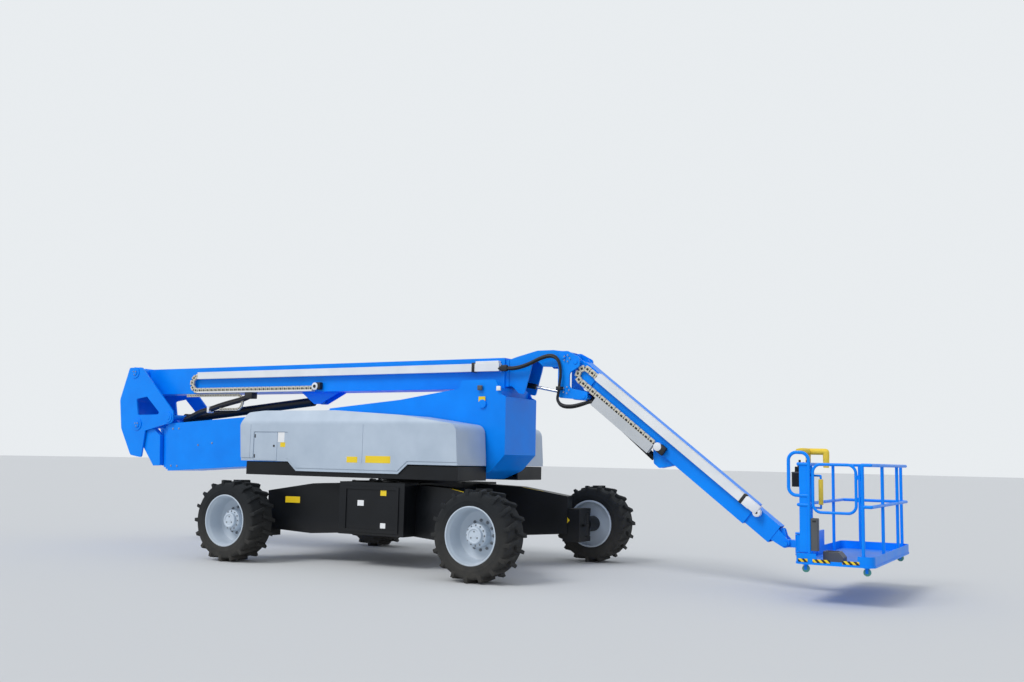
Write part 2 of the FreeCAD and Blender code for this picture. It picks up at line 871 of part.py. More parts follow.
def cylinder_ram(name, base, end, radius, rod_radius, eye, bore, out, bottom, pin_half, eye_half, stroke=0):
    """A hydraulic cylinder from its base pin to its rod's eye: two nodes along one line. A
    cylinder that is drawn out as the machine parks has its stroke left behind the rod."""
    run, rise = end[0] - base[0], end[1] - base[1]
    long = kept(f"{name}_long", root_of_squares(run, rise))
    stood = Place(base[0], 0, base[1], heading(run, 0 - rise))
    barrel_end = long - out
    barrel = fuse(
        bar("y", 0, 0, eye, -eye_half, eye_half),
        bar("x", 0, 0, radius, eye * 0.8, barrel_end),
    )
    well = bar("x", 0, 0, rod_radius + size("slide_gap"), bottom, barrel_end + 1)
    hole = bar("y", 0, 0, bore + gap, -eye_half - 1, eye_half + 1)
    node(f"{name}_barrel", cut(barrel, well, hole, name=f"{name}_barrel"), stood)
    rod = fuse(
        bar("x", 0, 0, rod_radius, bottom + 10 + stroke, long),
        bar("y", long, 0, eye * 0.75, -eye_half, eye_half),
        bar("y", long, 0, bore, -pin_half, pin_half),
        name=f"{name}_rod",
    )
    node(f"{name}_rod", rod, stood)


def lug_pair(outline, inner, thick):
    return both_sides(lambda y: plate(outline, y), sized(inner), sized(thick))


SECONDARY = ("secondary_outer", "secondary_mid", "secondary_inner", "secondary_tip")
PRIMARY = ("primary_outer", "primary_mid", "primary_tip")


def secondary_boom():
    """Four box sections hung by lugs from the riser, with their mouth towards the elbow."""
    drop, wide = -size("secondary_drop"), size("secondary_half") * 2
    tail = -size("secondary_tail")
    step, wall, collar = size("secondary_step"), size("secondary_wall"), sized(150)
    pin_r = size("elbow_pin_radius")
    top = drop + size("secondary_half")
    low = drop - size("secondary_half")
    for index, name in enumerate(SECONDARY):
        mouth = tail - size("secondary_long") - size("secondary_peep") * index
        tube, inside = section(
            SECONDARY, index, tail, mouth, wide, wide, drop, step, wall, collar, 300
        )
        pieces, holes = [tube], list(inside)
        after = []
        if index == 0:
            pivot_lug = [
                (tail - 250, top - 5),
                (-100, 130),
                (130, 130, 120),
                (130, -130, 120),
                (tail + 20, low + 140),
                (tail - 250, low + 140),
            ]
            after += lug_pair(pivot_lug, 369, 30)
            rod_x, rod_z = -size("lift_rod_along"), -size("lift_rod_below")
            rod_lug = [
                (rod_x - 260, low + 2),
                (rod_x + 260, low + 2),
                (rod_x + 60, rod_z - 62, 40),
                (rod_x - 60, rod_z - 62, 40),
            ]
            after += lug_pair(rod_lug, 76, 26)
        if index == 3:
            pin_u, pin_w = ELBOW_IN_BOOM
            end_lug = [
                (mouth + 60, drop + 200),
                (mouth + 60, drop - 300),
                (mouth - 100, drop - 300),
                (pin_u - 115, pin_w - 90, 60),
                (pin_u - 115, pin_w + 115, 100),
                (pin_u + 115, pin_w + 115, 60),
                (mouth - 60, top - 100),
            ]
            for y in ((-410, -size("secondary_half") + 96), (size("secondary_half") - 96, 410)):
                after.append(plate(end_lug, y))
        shell = cut(fuse(*pieces), *holes)
        if index == 3:
            bore = bar("y", pin_u, pin_w, pin_r + gap, -450, 450)
            whole = cut(fuse(shell, *after), bore, name=name)
        elif index == 0:
            bore = bar("y", 0, 0, pin_r + gap, -450, 450)
            whole = cut(fuse(shell, *after), bore, name=name)
        else:
            whole = fuse(shell, name=name)
        node(name, whole, PIVOT)


def elbow():
    """Two plates with a window, the cover behind them and the three pins that they hold."""
    back, rise = -size("primary_back"), size("primary_rise")
    apex = (size("apex_along"), size("apex_up"))
    inner, thick = size("side_inner"), size("side_thick")
    outline = [
        (-270, 990, 40),
        (-470, 430, 150),
        (-400, -70, 150),
        (-130, -530, 60),
        (140, -570, 40),
        (200, -110),
        (apex[0] - 50, apex[1] - 115, 60),
        (apex[0] + 110, apex[1] - 90, 80),
        (apex[0] + 110, apex[1] + 90, 80),
        (30, 990, 60),
    ]
    window = [(0, 160, 30), (-60, 440, 30), (200, 480, 30), (560, 170, 30)]
    pieces = []
    for y in ((-inner - thick, -inner), (inner, inner + thick)):
        pieces.append(cut(plate(outline, y), plate(window, (y[0] - 1, y[1] + 1))))
    cover = plate(
        [
            (-265, 985),
            (-466, 430, 150),
            (-410, 30),
            (-388, 30),
            (-444, 430, 130),
            (-240, 985),
        ],
        (-inner - 5, inner + 5),
    )
    out = inner + thick + 25
    for pin_u, pin_w, boss in ((0, 0, 105), (back, rise, 95), (*apex, 85)):
        for y in ((-out + 12, -inner - 5), (inner + 5, out - 12)):
            pieces.append(bar("y", pin_u, pin_w, boss, *y))
    pieces += [
        cover,
        bar("y", 0, 0, size("elbow_pin_radius"), -out, out),
        bar("y", back, rise, size("elbow_pin_radius") - 10, -out, out),
        bar("y", *apex, pin, -out + 5, out - 5),
        # Spacers keep the primary boom's lugs in the middle
        bar("y", back, rise, 80, -inner - 5, -size("primary_wide") / 2 - 36),
        bar("y", back, rise, 80, size("primary_wide") / 2 + 36, inner + 5),
    ]
    node("elbow", fuse(*pieces, name="elbow"), ELBOW)


def primary_boom():
    """Three box sections on the elbow's upper pin, with the gooseneck on the last one."""
    drop, wide, tall = -size("primary_drop"), size("primary_wide"), size("primary_tall")
    step, wall, collar = size("primary_step"), size("primary_wall"), sized(120)
    pin_r = size("elbow_pin_radius") - 10
    low = drop - tall / 2
    for index, name in enumerate(PRIMARY):
        mouth = size("primary_long") - 80 + size("primary_peep") * index
        tube, inside = section(
            PRIMARY, index, sized(-80), mouth, wide, tall, drop, step, wall, collar, 300
        )
        if index == 2:
            slot = block((mouth - 300, mouth + 10), (-60, 60), (low, drop))
            brace = bar("y", size("level_base_along"), -size("level_base_below"), 25, -150, 150)
            shell = cut(tube, *inside, slot)
            node(name, fuse(shell, brace, name=name), SHOULDER)
            continue
        if index == 1:
            node(name, cut(tube, *inside, name=name), SHOULDER)
            continue
        boss = bar("y", 0, 0, 88, -wide / 2 - 35, wide / 2 + 35)
        rod_x, rod_z = size("raise_rod_along"), -size("raise_rod_below")
        lug = [
            (rod_x - 330, low + 2),
            (rod_x + 450, low + 2),
            (rod_x + 62, rod_z - 58, 45),
            (rod_x - 62, rod_z - 58, 45),
        ]
        lugs = lug_pair(lug, 78, 22)
        bore = bar("y", 0, 0, pin_r + gap, -300, 300)
        shell = cut(fuse(tube, boss), *inside, bore)
        node(name, fuse(shell, *lugs, name=name), SHOULDER)


def trough(along, side, wide, low, tall, floor, place, name):
    """A channel for cables beside a boom, open at its tail and on top. Its floor is raised where
    the tray is deeper than the chain that lies on it."""
    wall = size("carrier_wall")
    y = (side - wide, side - gap)
    inner_y = (y[0] + wall, y[1] - wall)
    outside = block(along, y, (low, low + tall))
    hollows = [block((along[0] - 1, along[1] - wall), inner_y, (floor, low + tall + 1))]
    if floor.value > (low + wall).value + 1:
        hollows.append(block((along[0] - 1, along[1] + 1), inner_y, (low - 1, floor - wall)))
    node(name, cut(outside, *hollows, name=name), place)


def carrier_chain(centre, ends, floors, side, wide, place, name):
    """A link chain that leaves the trough, bends back round the centre and lies on the tray."""
    tall, outer_y = size("chain_tall"), side - wide + size("carrier_wall") + 1
    y = (outer_y, outer_y + size("chain_wide"))
    past_y = (y[0] - 1, y[1] + 1)
    high, low = floors[0] + gap + tall, floors[1] + gap
    middle, outer = (high + low) / 2, (high - low) / 2
    bend = cut(
        bar("y", centre, middle, outer, *y),
        bar("y", centre, middle, outer - tall, *past_y),
        block((centre, centre + outer + 1), past_y, (low - 1, high + 1)),
    )
    upper = block((centre, ends[0]), y, (high - tall, high))
    lower = block((centre, ends[1]), y, (low, low + tall))
    node(name, fuse(bend, upper, lower, name=name), place)


def primary_carrier():
    """The trough and the tray on the near side of the primary boom, and the chain in them."""
    side, wide = -size("primary_wide") / 2, size("trough_wide")
    wall, tail = size("carrier_wall"), size("trough_tail")
    top = size("primary_tall") / 2 - size("primary_drop")
    trough_low = top - size("trough_down") - size("trough_tall")
    tray_low = top - size("primary_tall") + 4
    tray_end = tail + size("tray_long")
    trough((tail, size("trough_nose")), side, wide, trough_low, size("trough_tall"), trough_low + wall,
           SHOULDER, "primary_trough")
    trough((tail, tray_end), side, wide, tray_low, size("tray_tall"), tray_low + wall,
           SHOULDER, "primary_tray")
    carrier_chain(tail - 10, (tail + 600, tray_end - wall - 2), (trough_low + wall, tray_low + wall),
                  side, wide, SHOULDER, "primary_chain")


def jib_carrier():
    """The same on the near side of the jib, where the tray is deeper than its chain's bed."""
    side, wide, wall = -size("jib_wide") / 2, size("jib_trough_wide"), size("carrier_wall")
    top = size("jib_tall") / 2 - size("jib_drop")
    trough_low = top + size("jib_trough_up") - size("trough_tall")
    bed = top - size("jib_tall") + 15
    start = size("jib_trough_start")
    trough((start, size("jib_trough_end")), side, wide, trough_low, size("trough_tall"), trough_low + wall,
           JIB, "jib_trough")
    trough((size("jib_tray_start"), size("jib_tray_end")), side, wide, bed + 30 - size("jib_tray_tall"),
           size("jib_tray_tall"), bed, JIB, "jib_tray")
    carrier_chain(start - 170, (start + 500, size("jib_tray_end") - wall - 2), (trough_low + wall, bed),
                  side, wide, JIB, "jib_chain")


def gooseneck():
    """Two cheeks and a bent top plate that carry the jib link ahead of the primary boom."""
    link_u, link_w = size("link_reach"), size("link_rise")
    nose = size("primary_long") - 80 + size("primary_peep") * 2
    back = nose - size("primary_peep") + 5
    outline = [
        (back, 45),
        (nose + 60, 80, 80),
        (nose + 390, 160, 80),
        (nose + 640, 160),
        (link_u + 60, 125, 40),
        (link_u + 90, link_w - 10, 60),
        (link_u + 40, link_w - 100, 40),
        (link_u - 150, link_w - 140),
        (link_u - 350, link_w - 130),
        (link_u - 420, link_w - 60),
        (link_u - 520, link_w - 60),
        (link_u - 540, link_w - 160),
        (link_u - 640, link_w - 515, 30),
        (link_u - 730, link_w - 500, 30),
        (link_u - 830, link_w - 400, 80),
        (back, -330),
    ]
    half = size("primary_wide") / 2 - size("primary_step") * 2
    cheeks = lug_pair(outline, half, 26)
    top = plate(
        [
            (back, 45),
            (nose + 60, 80, 80),
            (nose + 390, 160, 80),
            (nose + 640, 160),
            (link_u + 20, 135),
            (link_u + 20, 119),
            (nose + 640, 144),
            (nose + 390, 144, 64),
            (nose + 60, 64, 64),
            (back, 29),
        ],
        (-half - 5, half + 5),
    )
    out = size("link_inner") + size("link_thick") + 18
    axle = bar("y", link_u, link_w, 35, -out, out)
    node("gooseneck", fuse(*cheeks, top, axle, name="gooseneck"), SHOULDER)


def jib_link():
    """Two upright plates that hang from the gooseneck and carry the jib and two cylinders."""
    ahead, below = size("jib_ahead"), size("jib_below")
    level_u, level_w = -size("level_rod_back"), -size("level_rod_below")
    base_u, base_w = size("jib_base_ahead"), -size("jib_base_below")
    outline = [
        (-75, 75, 60),
        (60, 75, 40),
        (ahead + 62, -below + 60, 50),
        (ahead + 62, -below - 62, 50),
        (90, -230, 60),
        (90, level_w + 60, 60),
        (base_u + 55, base_w + 62, 40),
        (base_u + 55, base_w - 50, 45),
        (level_u - 55, level_w - 70, 60),
        (level_u - 55, -200),
    ]
    inner, thick = size("link_inner"), size("link_thick")
    plates = lug_pair(outline, inner, thick)
    hole = bar("y", 0, 0, 35 + gap, -inner - thick - 1, inner + thick + 1)
    out = inner + thick + 12
    jib_axle = bar("y", ahead, -below, 32, -out, out)
    base_axle = bar("y", base_u, base_w, 30, -out, out)
    node("jib_link", fuse(cut(fuse(*plates), hole), jib_axle, base_axle, name="jib_link"), LINK)


def jib():
    """Two box sections that slope down from the link to the platform's pivot."""
    drop, wide, tall = -size("jib_drop"), size("jib_wide"), size("jib_tall")
    step, wall, collar = size("jib_step"), size("jib_wall"), sized(100)
    low = drop - tall / 2
    names = ("jib_outer", "jib_inner")
    for index, name in enumerate(names):
        mouth = JIB_MOUTH if index == 0 else JIB_REACH - 170
        tube, inside = section(names, index, sized(80), mouth, wide, tall, drop, step, wall, collar, 50)
        shell = cut(tube, *inside)
        if index == 0:
            ear = [
                (-62, 62, 55),
                (360, 60),
                (360, -190),
                (90, -210, 40),
                (-62, -62, 55),
            ]
            ears = lug_pair(ear, wide / 2 - 2, 25)
            rod_u, rod_w = size("jib_rod_along"), -size("jib_rod_below")
            lug = [
                (rod_u - 200, low + 2),
                (rod_u + 200, low + 2),
                (rod_u + 50, rod_w - 45, 35),
                (rod_u - 50, rod_w - 45, 35),
            ]
            lugs = lug_pair(lug, 46, 22)
            bore = bar("y", 0, 0, 32 + gap, -300, 300)
            node(name, cut(fuse(shell, *ears, *lugs), bore, name=name), JIB)
            continue
        reach = JIB_REACH
        fork = [
            (mouth - 60, drop + 90),
            (reach + 45, drop + 50, 45),
            (reach + 45, drop - 50, 45),
            (mouth - 60, drop - 90),
        ]
        forks = lug_pair(fork, 60, 30)
        bulkhead = block(
            (reach - 760, reach - 740),
            (-wide / 2 + step + 2, wide / 2 - step - 2),
            (drop - tall / 2 + step + 2, drop + tall / 2 - step - 2),
        )
        cheeks = [
            block((mouth - 60, mouth), y, (drop - 90, drop + 90))
            for y in ((-wide / 2 + step + 2, -88), (88, wide / 2 - step - 2))
        ]
        bore = bar("y", reach, drop, 30 + gap, -120, 120)
        node(name, cut(fuse(shell, *forks, bulkhead, *cheeks), bore, name=name), JIB)


def platform_level_ram():
    """The levelling cylinder inside the jib's tip, and its rod to the bracket's ear."""
    reach, lift = JIB_REACH, -size("jib_drop") + size("ear_offset")
    start, end = reach - 740, reach - 200
    barrel = cut(
        bar("x", 0, lift, 30, start, end),
        bar("x", 0, lift, 18 + size("slide_gap"), start + 40, end + 1),
        name="platform_level_barrel",
    )
    node("platform_level_barrel", barrel, JIB)
    eye = reach - size("ear_back")
    rod = fuse(
        bar("x", 0, lift, 18, start + 50, eye),
        bar("y", eye, lift, 26, -22, 22),
        bar("y", eye, lift, 14, -28, 28),
        name="platform_level_rod",
    )
    node("platform_level_rod", rod, JIB)


def platform_bracket():
    """The level bracket at the jib's tip, with the housing that the platform turns on."""
    ahead = size("rotator_ahead")
    ear_x, ear_z = in_level(size("ear_back"), size("ear_offset"))
    ear = [
        (-34, -30),
        (34, -30),
        (ear_x + 34, ear_z + 30, 28),
        (ear_x - 34, ear_z + 30, 28),
    ]
    pieces = [
        bar("y", 0, 0, 30, -112, 112),
        bar("y", 0, 0, 52, -54, 54),
        block((0, ahead - 40), (-54, 54), (-45, 45)),
        bar("z", ahead, 0, 72, -112, 112),
        *lug_pair(ear, 34, 14),
    ]
    bore = bar("z", ahead, 0, 30 + gap, -113, 113)
    node("platform_bracket", cut(fuse(*pieces), bore, name="platform_bracket"), TIP)


def in_level(back, up):
    """A point given along the jib from its tip, as (x, z) from the tip in the level frame."""
    c, s = cosine(size("jib_angle")), sine(size("jib_angle"))
    return up * s - back * c, up * c + back * s


def tube_bend(corner, came, goes, bend, radius):
    """A quarter of a ring between two runs of tube, given as unit steps along the axes."""
    ring = doc.addObject("Part::Torus", fresh("bend"))
    bind(ring, Radius1=bend, Radius2=radius)
    ring.Angle3 = 90
    centre = [at + (after - before) * bend for at, before, after in zip(corner, came, goes)]
    before, after = Vector(*came), Vector(*goes)
    turn = Rotation(after * -1, before, before.cross(after), "XYZ")
    return stand(ring, Place(*centre, math.degrees(turn.Angle), tuple(turn.Axis)))


def rail(*points, radius=None, bend=None):
    """A tube through points that each differ on one axis from the last. Its corners are mitred,
    or rounded where a bend is given."""
    radius = radius or size("rail_radius")
    spots = [[sized(number) for number in point] for point in points]
    steps = []
    for a, b in zip(spots, spots[1:]):
        apart_by = [b[i].value - a[i].value for i in range(3)]
        steps.append([0 if abs(d) < 0.01 else int(math.copysign(1, d)) for d in apart_by])
    pieces = []
    for index, (a, b, step) in enumerate(zip(spots, spots[1:], steps)):
        axis = [i for i in range(3) if step[i]][0]
        start, end = a[axis], b[axis]
        if bend:
            start = start + bend * step[axis] if index else start
            end = end - bend * step[axis] if index < len(steps) - 1 else end
        others = [a[i] for i in range(3) if i != axis]
        pieces.append(bar("xyz"[axis], *others, radius, *in_order((start, end))))
    for corner, came, goes in zip(spots[1:-1], steps, steps[1:]):
        if bend:
            pieces.append(tube_bend(corner, came, goes, bend, radius))
            continue
        ball = doc.addObject("Part::Sphere", fresh("ball"))
        bind(ball, Radius=radius)
        pieces.append(stand(ball, Place(*corner)))
    return fuse(*pieces)


def platform():
    """The floor with its toe boards, the rails, the swing gate and the control console."""
    deep, half = size("platform_deep"), size("platform_wide") / 2
    floor, top = -size("platform_drop"), size("rail_rise")
    origin = Place(TIP.x + size("platform_ahead"), 0, TIP.z - size("platform_drop"))
    toe, r = size("toe_rise"), size("rail_radius")
    mid = top * 0.59
    turn_x = size("rotator_ahead") - size("platform_ahead")
    # The mount: two arms over and under the bracket's housing, and a pin through it
    high, low = 0 - floor + 118, 0 - floor - 118
    mount = [
        bar("z", turn_x, 0, 30, low - 20, high + 20),
        bar("z", turn_x, 0, 72, high, high + 22),
        bar("z", turn_x, 0, 72, low - 22, low),
        block((turn_x, 20), (-70, 70), (high, high + 22)),
        block((turn_x, 20), (-70, 70), (low - 22, low)),
        block((0, 24), (-180, 180), (0, high + 60)),
        block((0, deep * 0.5), (-120, 120), (low - 22, 0)),
    ]
    node("platform_mount", fuse(*mount, name="platform_mount"), origin)
    deck = [
        plan([(0, -half, 90), (deep, -half, 90), (deep, half, 90), (0, half, 90)], (0, 22)),
        cut(
            plan([(6, 6 - half, 84), (deep - 6, 6 - half, 84), (deep - 6, half - 6, 84), (6, half - 6, 84)],
                 (20, toe)),
            plan([(11, 11 - half, 79), (deep - 11, 11 - half, 79), (deep - 11, half - 11, 79),
                  (11, half - 11, 79)], (19, toe + 1)),
            block((deep * 0.28, deep * 0.79), (-half - 1, 20 - half), (45, toe + 1)),
        ),
    ]
    seat = block((-1, 26), (-180 - 1, 181), (-1, high + 61))
    node("platform_floor", cut(fuse(*deck), seat, name="platform_floor"), origin)
    edge = half - r - 12
    rear, front = r + 30, deep - r - 12
    gate_a, gate_b = deep * 0.19, deep * 0.86
    post_low = 22
    hoop = top + 130
    lines = [
        [(gate_b, -edge, post_low), (gate_b, -edge, top), (front, -edge, top), (front, edge, top),
         (rear, edge, top), (rear, -edge, top), (gate_a, -edge, top), (gate_a, -edge, post_low)],
        [(gate_b, -edge, mid), (front, -edge, mid), (front, edge, mid), (rear, edge, mid),
         (rear, -edge, mid), (gate_a, -edge, mid)],
        [(front, -edge * 0.42, post_low), (front, -edge * 0.42, top)],
        [(front, edge * 0.42, post_low), (front, edge * 0.42, top)],
        [(rear, edge * 0.5, post_low), (rear, edge * 0.5, top)],
        [(rear, -edge * 0.5, post_low), (rear, -edge * 0.5, top)],
        [(front - 60, edge, post_low), (front - 60, edge, top)],
        [(deep * 0.3, edge, post_low), (deep * 0.3, edge, top)],
    ]
    guard = rail(
        (gate_a, -edge, top),
        (gate_a, -edge, hoop),
        (-60, -edge, hoop),
        (-60, -edge, top - 350),
        (gate_a, -edge, top - 350),
        bend=size("rail_bend"),
    )
    post = block((gate_a - 105, gate_a), (-edge - 5, -edge + 5), (post_low + 110, top))
    node("platform_rails", fuse(*[rail(*line) for line in lines], guard, post, name="platform_rails"), origin)
    leaf_a, leaf_b = gate_a + 2 * r + 8, gate_b - 2 * r - 30
    leaf = rail(
        (leaf_a, -edge, top * 0.7),
        (leaf_a, -edge, top),
        (leaf_b, -edge, top),
        (leaf_b, -edge, top * 0.52),
        (leaf_a, -edge, top * 0.52),
        (leaf_a, -edge, top * 0.7),
        radius=r - 3,
        bend=size("rail_bend"),
    )
    hinge = [
        bar("z", gate_b - r - 10 - gap, -edge, 10, z, z + 60) for z in (top * 0.63, top * 0.85)
    ]
    straps = [
        block((leaf_b, gate_b - r - 10 - gap), (-edge - 4, -edge + 4), (z + 5, z + 55))
        for z in (top * 0.63, top * 0.85)
    ]
    node("platform_gate", fuse(leaf, *hinge, *straps, name="platform_gate"), origin)
    console_y, panel_y = (-edge * 0.85, -edge * 0.3), (-edge * 0.8, -edge * 0.35)
    panel_top = top - 30
    node(
        "control_console",
        fuse(
            block((-70, rear - r), console_y, (top - 260, top - 90)),
            block((-50, rear - r), panel_y, (top - 260, panel_top)),
            name="control_console",
        ),
        origin,
    )
    # The padded bar over the controls, with one leg on them and one before the operator
    pad, pad_y, pad_z = size("pad_radius"), panel_y[1] - 50, top + size("pad_rise")
    node(
        "control_pad",
        fuse(
            rail((-10, console_y[0] + 70, pad_z), (-10, pad_y, pad_z), (200, pad_y, pad_z),
                 (200, pad_y, top - 40), radius=pad),
            bar("z", -10, pad_y, pad * 0.8, panel_top + gap, pad_z),
            name="control_pad",
        ),
        origin,
    )
    case_x, case_y = gate_a + r + gap, -edge - r
    case = plan([(case_x, case_y, 15), (case_x + 80, case_y, 15), (case_x + 80, case_y + 80, 15),
                 (case_x, case_y + 80, 15)], (150, 500))
    lid = block((case_x + 5, case_x + 75), (case_y + 5, case_y + 75), (490, 508))
    node("papers_case", fuse(case, lid, name="papers_case"), origin)
    pedal = plate([(280, 22 + gap), (500, 22 + gap), (500, 80), (450, 140, 15), (280, 140)],
                  (-edge + 140, -edge + 340))
    tread = cut(pedal, block((300, 440), (-edge + 160, -edge + 320), (128, 141)), name="foot_switch")
    node("foot_switch", tread, origin)


turntable()
secondary_boom()
elbow()
primary_boom()
primary_carrier()
gooseneck()
jib_link()
jib()
jib_carrier()
platform_level_ram()
platform_bracket()
platform()

cylinder_ram("secondary_lift", (slew + LIFT_BASE[0], LIFT_BASE[1]),
             PIVOT.point(-size("lift_rod_along"), -size("lift_rod_below")),
             70, 45, 80, 45, 150, 140, 70, 62)
cylinder_ram("primary_lift", (ELBOW.x + size("apex_along"), ELBOW.z + size("apex_up")),
             SHOULDER.point(size("raise_rod_along"), -size("raise_rod_below")),
             72, 42, 76, 45, 150, 140, 72, 64)
cylinder_ram("jib_level", SHOULDER.point(size("level_base_along"), -size("level_base_below")),
             (LINK.x - size("level_rod_back"), LINK.z - size("level_rod_below")),
             40, 22, 44, 25, 520, 90, 192, 30, stroke=470)
cylinder_ram("jib_lift", (LINK.x + size("jib_base_ahead"), LINK.z - size("jib_base_below")),
             JIB.point(size("jib_rod_along"), -size("jib_rod_below")),
             46, 28, 50, 30, 110, 100, 40, 36)

doc.recompute()
os.makedirs("parts", exist_ok=True)
failed = [t for t in doc.Objects if "Invalid" in t.State or "Error" in t.State]
if failed:
    raise RuntimeError("failed: " + ", ".join(f"{t.Name} ({t.Label})" for t in failed))
for name, thing in nodes.items():
    shape = thing.Shape
    if shape.isNull() or not shape.isValid() or shape.Volume <= 0:
        raise RuntimeError(f"{name} has no valid shape")
for name, thing in nodes.items():
    thing.Shape.exportStep(f"parts/{name}.step")
print(len(nodes), "nodes")
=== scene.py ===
import json
import math

import bpy
from mathutils import Matrix, Vector


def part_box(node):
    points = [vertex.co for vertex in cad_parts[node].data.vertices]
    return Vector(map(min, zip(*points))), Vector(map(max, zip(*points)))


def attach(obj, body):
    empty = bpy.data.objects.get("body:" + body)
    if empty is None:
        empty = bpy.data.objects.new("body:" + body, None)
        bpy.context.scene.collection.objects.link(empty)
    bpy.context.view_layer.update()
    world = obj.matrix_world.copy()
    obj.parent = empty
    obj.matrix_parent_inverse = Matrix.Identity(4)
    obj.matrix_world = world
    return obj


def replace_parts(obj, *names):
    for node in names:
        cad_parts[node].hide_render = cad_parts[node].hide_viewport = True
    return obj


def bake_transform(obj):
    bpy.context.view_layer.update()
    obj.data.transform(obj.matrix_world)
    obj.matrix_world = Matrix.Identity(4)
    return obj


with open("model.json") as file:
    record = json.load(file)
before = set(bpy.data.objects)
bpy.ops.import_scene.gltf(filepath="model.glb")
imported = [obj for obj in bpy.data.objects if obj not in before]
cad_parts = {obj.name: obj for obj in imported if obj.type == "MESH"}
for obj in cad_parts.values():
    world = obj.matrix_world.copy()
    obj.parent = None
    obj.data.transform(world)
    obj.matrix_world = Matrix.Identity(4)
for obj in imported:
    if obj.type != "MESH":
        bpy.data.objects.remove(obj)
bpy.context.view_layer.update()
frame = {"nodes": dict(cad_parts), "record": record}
nodes = frame["nodes"]


# Finishes

def linear(hex_colour):
    """sRGB hex to the linear colour that a shader socket takes."""
    channels = [int(hex_colour[i:i + 2], 16) / 255 for i in (1, 3, 5)]
    return [c / 12.92 if c <= 0.04045 else ((c + 0.055) / 1.055) ** 2.4 for c in channels] + [1]


def add_node(tree, kind, settings=None, **links):
    """Adds a node: settings sets its properties, links its sockets by name, from a value or a socket."""
    made = tree.nodes.new(kind)
    for name, value in (settings or {}).items():
        setattr(made, name, value)
    for name, value in links.items():
        key = int(name[1:]) if name[0] == "_" and name[1:].isdigit() else name.replace("_", " ")
        socket = made.inputs[key]
        if isinstance(value, bpy.types.NodeSocket):
            tree.links.new(value, socket)
        else:
            socket.default_value = value
    return made


def ramp(tree, fac, stops, interpolation="LINEAR"):
    """A colour ramp through (position, hex) stops."""
    made = add_node(tree, "ShaderNodeValToRGB", Fac=fac)
    made.color_ramp.interpolation = interpolation
    while len(made.color_ramp.elements) < len(stops):
        made.color_ramp.elements.new(0.5)
    for element, (position, colour) in zip(made.color_ramp.elements, stops):
        element.position = position
        element.color = linear(colour)
    return made.outputs["Color"]


def finish(name, colours, roughness, metallic=0.0, grain_mm=0.6, bump_mm=0.05, coat=0.0, blotch_m=0.35,
           dirt=None, dirt_height=0.5, specular=0.5):
    """A material with slow colour drift, fine grain, and dust that thins out with height."""
    material = bpy.data.materials.new(name)
    material.use_nodes = True
    tree = material.node_tree
    shader = tree.nodes["Principled BSDF"]
    place = add_node(tree, "ShaderNodeTexCoord").outputs["Object"]
    drift = add_node(tree, "ShaderNodeTexNoise", Vector=place, Scale=1 / blotch_m, Detail=4.0)
    grain = add_node(tree, "ShaderNodeTexNoise", Vector=place, Scale=1000 / grain_mm / 6, Detail=3.0)
    colour = ramp(tree, drift.outputs["Fac"], [(0.3, colours[0]), (0.7, colours[1])])
    if dirt:
        height = add_node(tree, "ShaderNodeSeparateXYZ", Vector=place).outputs["Z"]
        low = add_node(tree, "ShaderNodeMapRange", Value=height, From_Min=0.0, From_Max=dirt_height,
                       To_Min=0.75, To_Max=0.0)
        speck = add_node(tree, "ShaderNodeTexNoise", Vector=place, Scale=9.0, Detail=8.0, Roughness=0.7)
        dusty = add_node(tree, "ShaderNodeMath", {"operation": "MULTIPLY", "use_clamp": True},
                         _0=low.outputs["Result"], _1=speck.outputs["Fac"])
        mixed = add_node(tree, "ShaderNodeMix", {"data_type": "RGBA"}, _0=dusty.outputs["Value"])
        tree.links.new(colour, mixed.inputs[6])
        mixed.inputs[7].default_value = linear(dirt)
        colour = mixed.outputs[2]
    tree.links.new(colour, shader.inputs["Base Color"])
    rough = add_node(tree, "ShaderNodeMapRange", Value=drift.outputs["Fac"], From_Min=0.3, From_Max=0.7,
                     To_Min=max(roughness - 0.06, 0.03), To_Max=min(roughness + 0.08, 1.0))
    tree.links.new(rough.outputs["Result"], shader.inputs["Roughness"])
    shader.inputs["Metallic"].default_value = metallic
    shader.inputs["Specular IOR Level"].default_value = specular
    shader.inputs["Coat Weight"].default_value = coat
    shader.inputs["Coat Roughness"].default_value = 0.08
    bump = add_node(tree, "ShaderNodeBump", Strength=0.35, Distance=bump_mm / 1000,
                    Height=grain.outputs["Fac"])
    tree.links.new(bump.outputs["Normal"], shader.inputs["Normal"])
    return material


# Sprayed two-part enamel on steel: a clear even blue with a soft gloss and a faint orange peel
blue_enamel = finish("blue_enamel", ("#0085f6", "#008eff"), 0.36, coat=0.06, grain_mm=3.0, bump_mm=0.06,
                     specular=0.16)
# Gel-coated glass fibre: light blue-grey, smooth, a little duller than the enamel
hood_gelcoat = finish("hood_gelcoat", ("#aebdcd", "#bac8d7"), 0.38, coat=0.15, grain_mm=4.0, bump_mm=0.05)
# Chassis black: satin two-part paint with road dust on its lower faces
chassis_black = finish("chassis_black", ("#0b0e12", "#12151a"), 0.42, dirt="#4a4844", dirt_height=0.6,
                       grain_mm=2.0, specular=0.3)
# Rims: light silver-grey powder coat, dusty in the dish
rim_grey = finish("rim_grey", ("#b9c6d3", "#c8d3de"), 0.45, dirt="#8f8b83", dirt_height=0.5, grain_mm=1.5)
# Foam-filled tyre rubber: near black, matt, browned by dust
tyre_rubber = finish("tyre_rubber", ("#181b1e", "#24272a"), 0.85, dirt="#58544d", dirt_height=0.9,
                     grain_mm=2.0, bump_mm=0.3, blotch_m=0.12, specular=0.3)
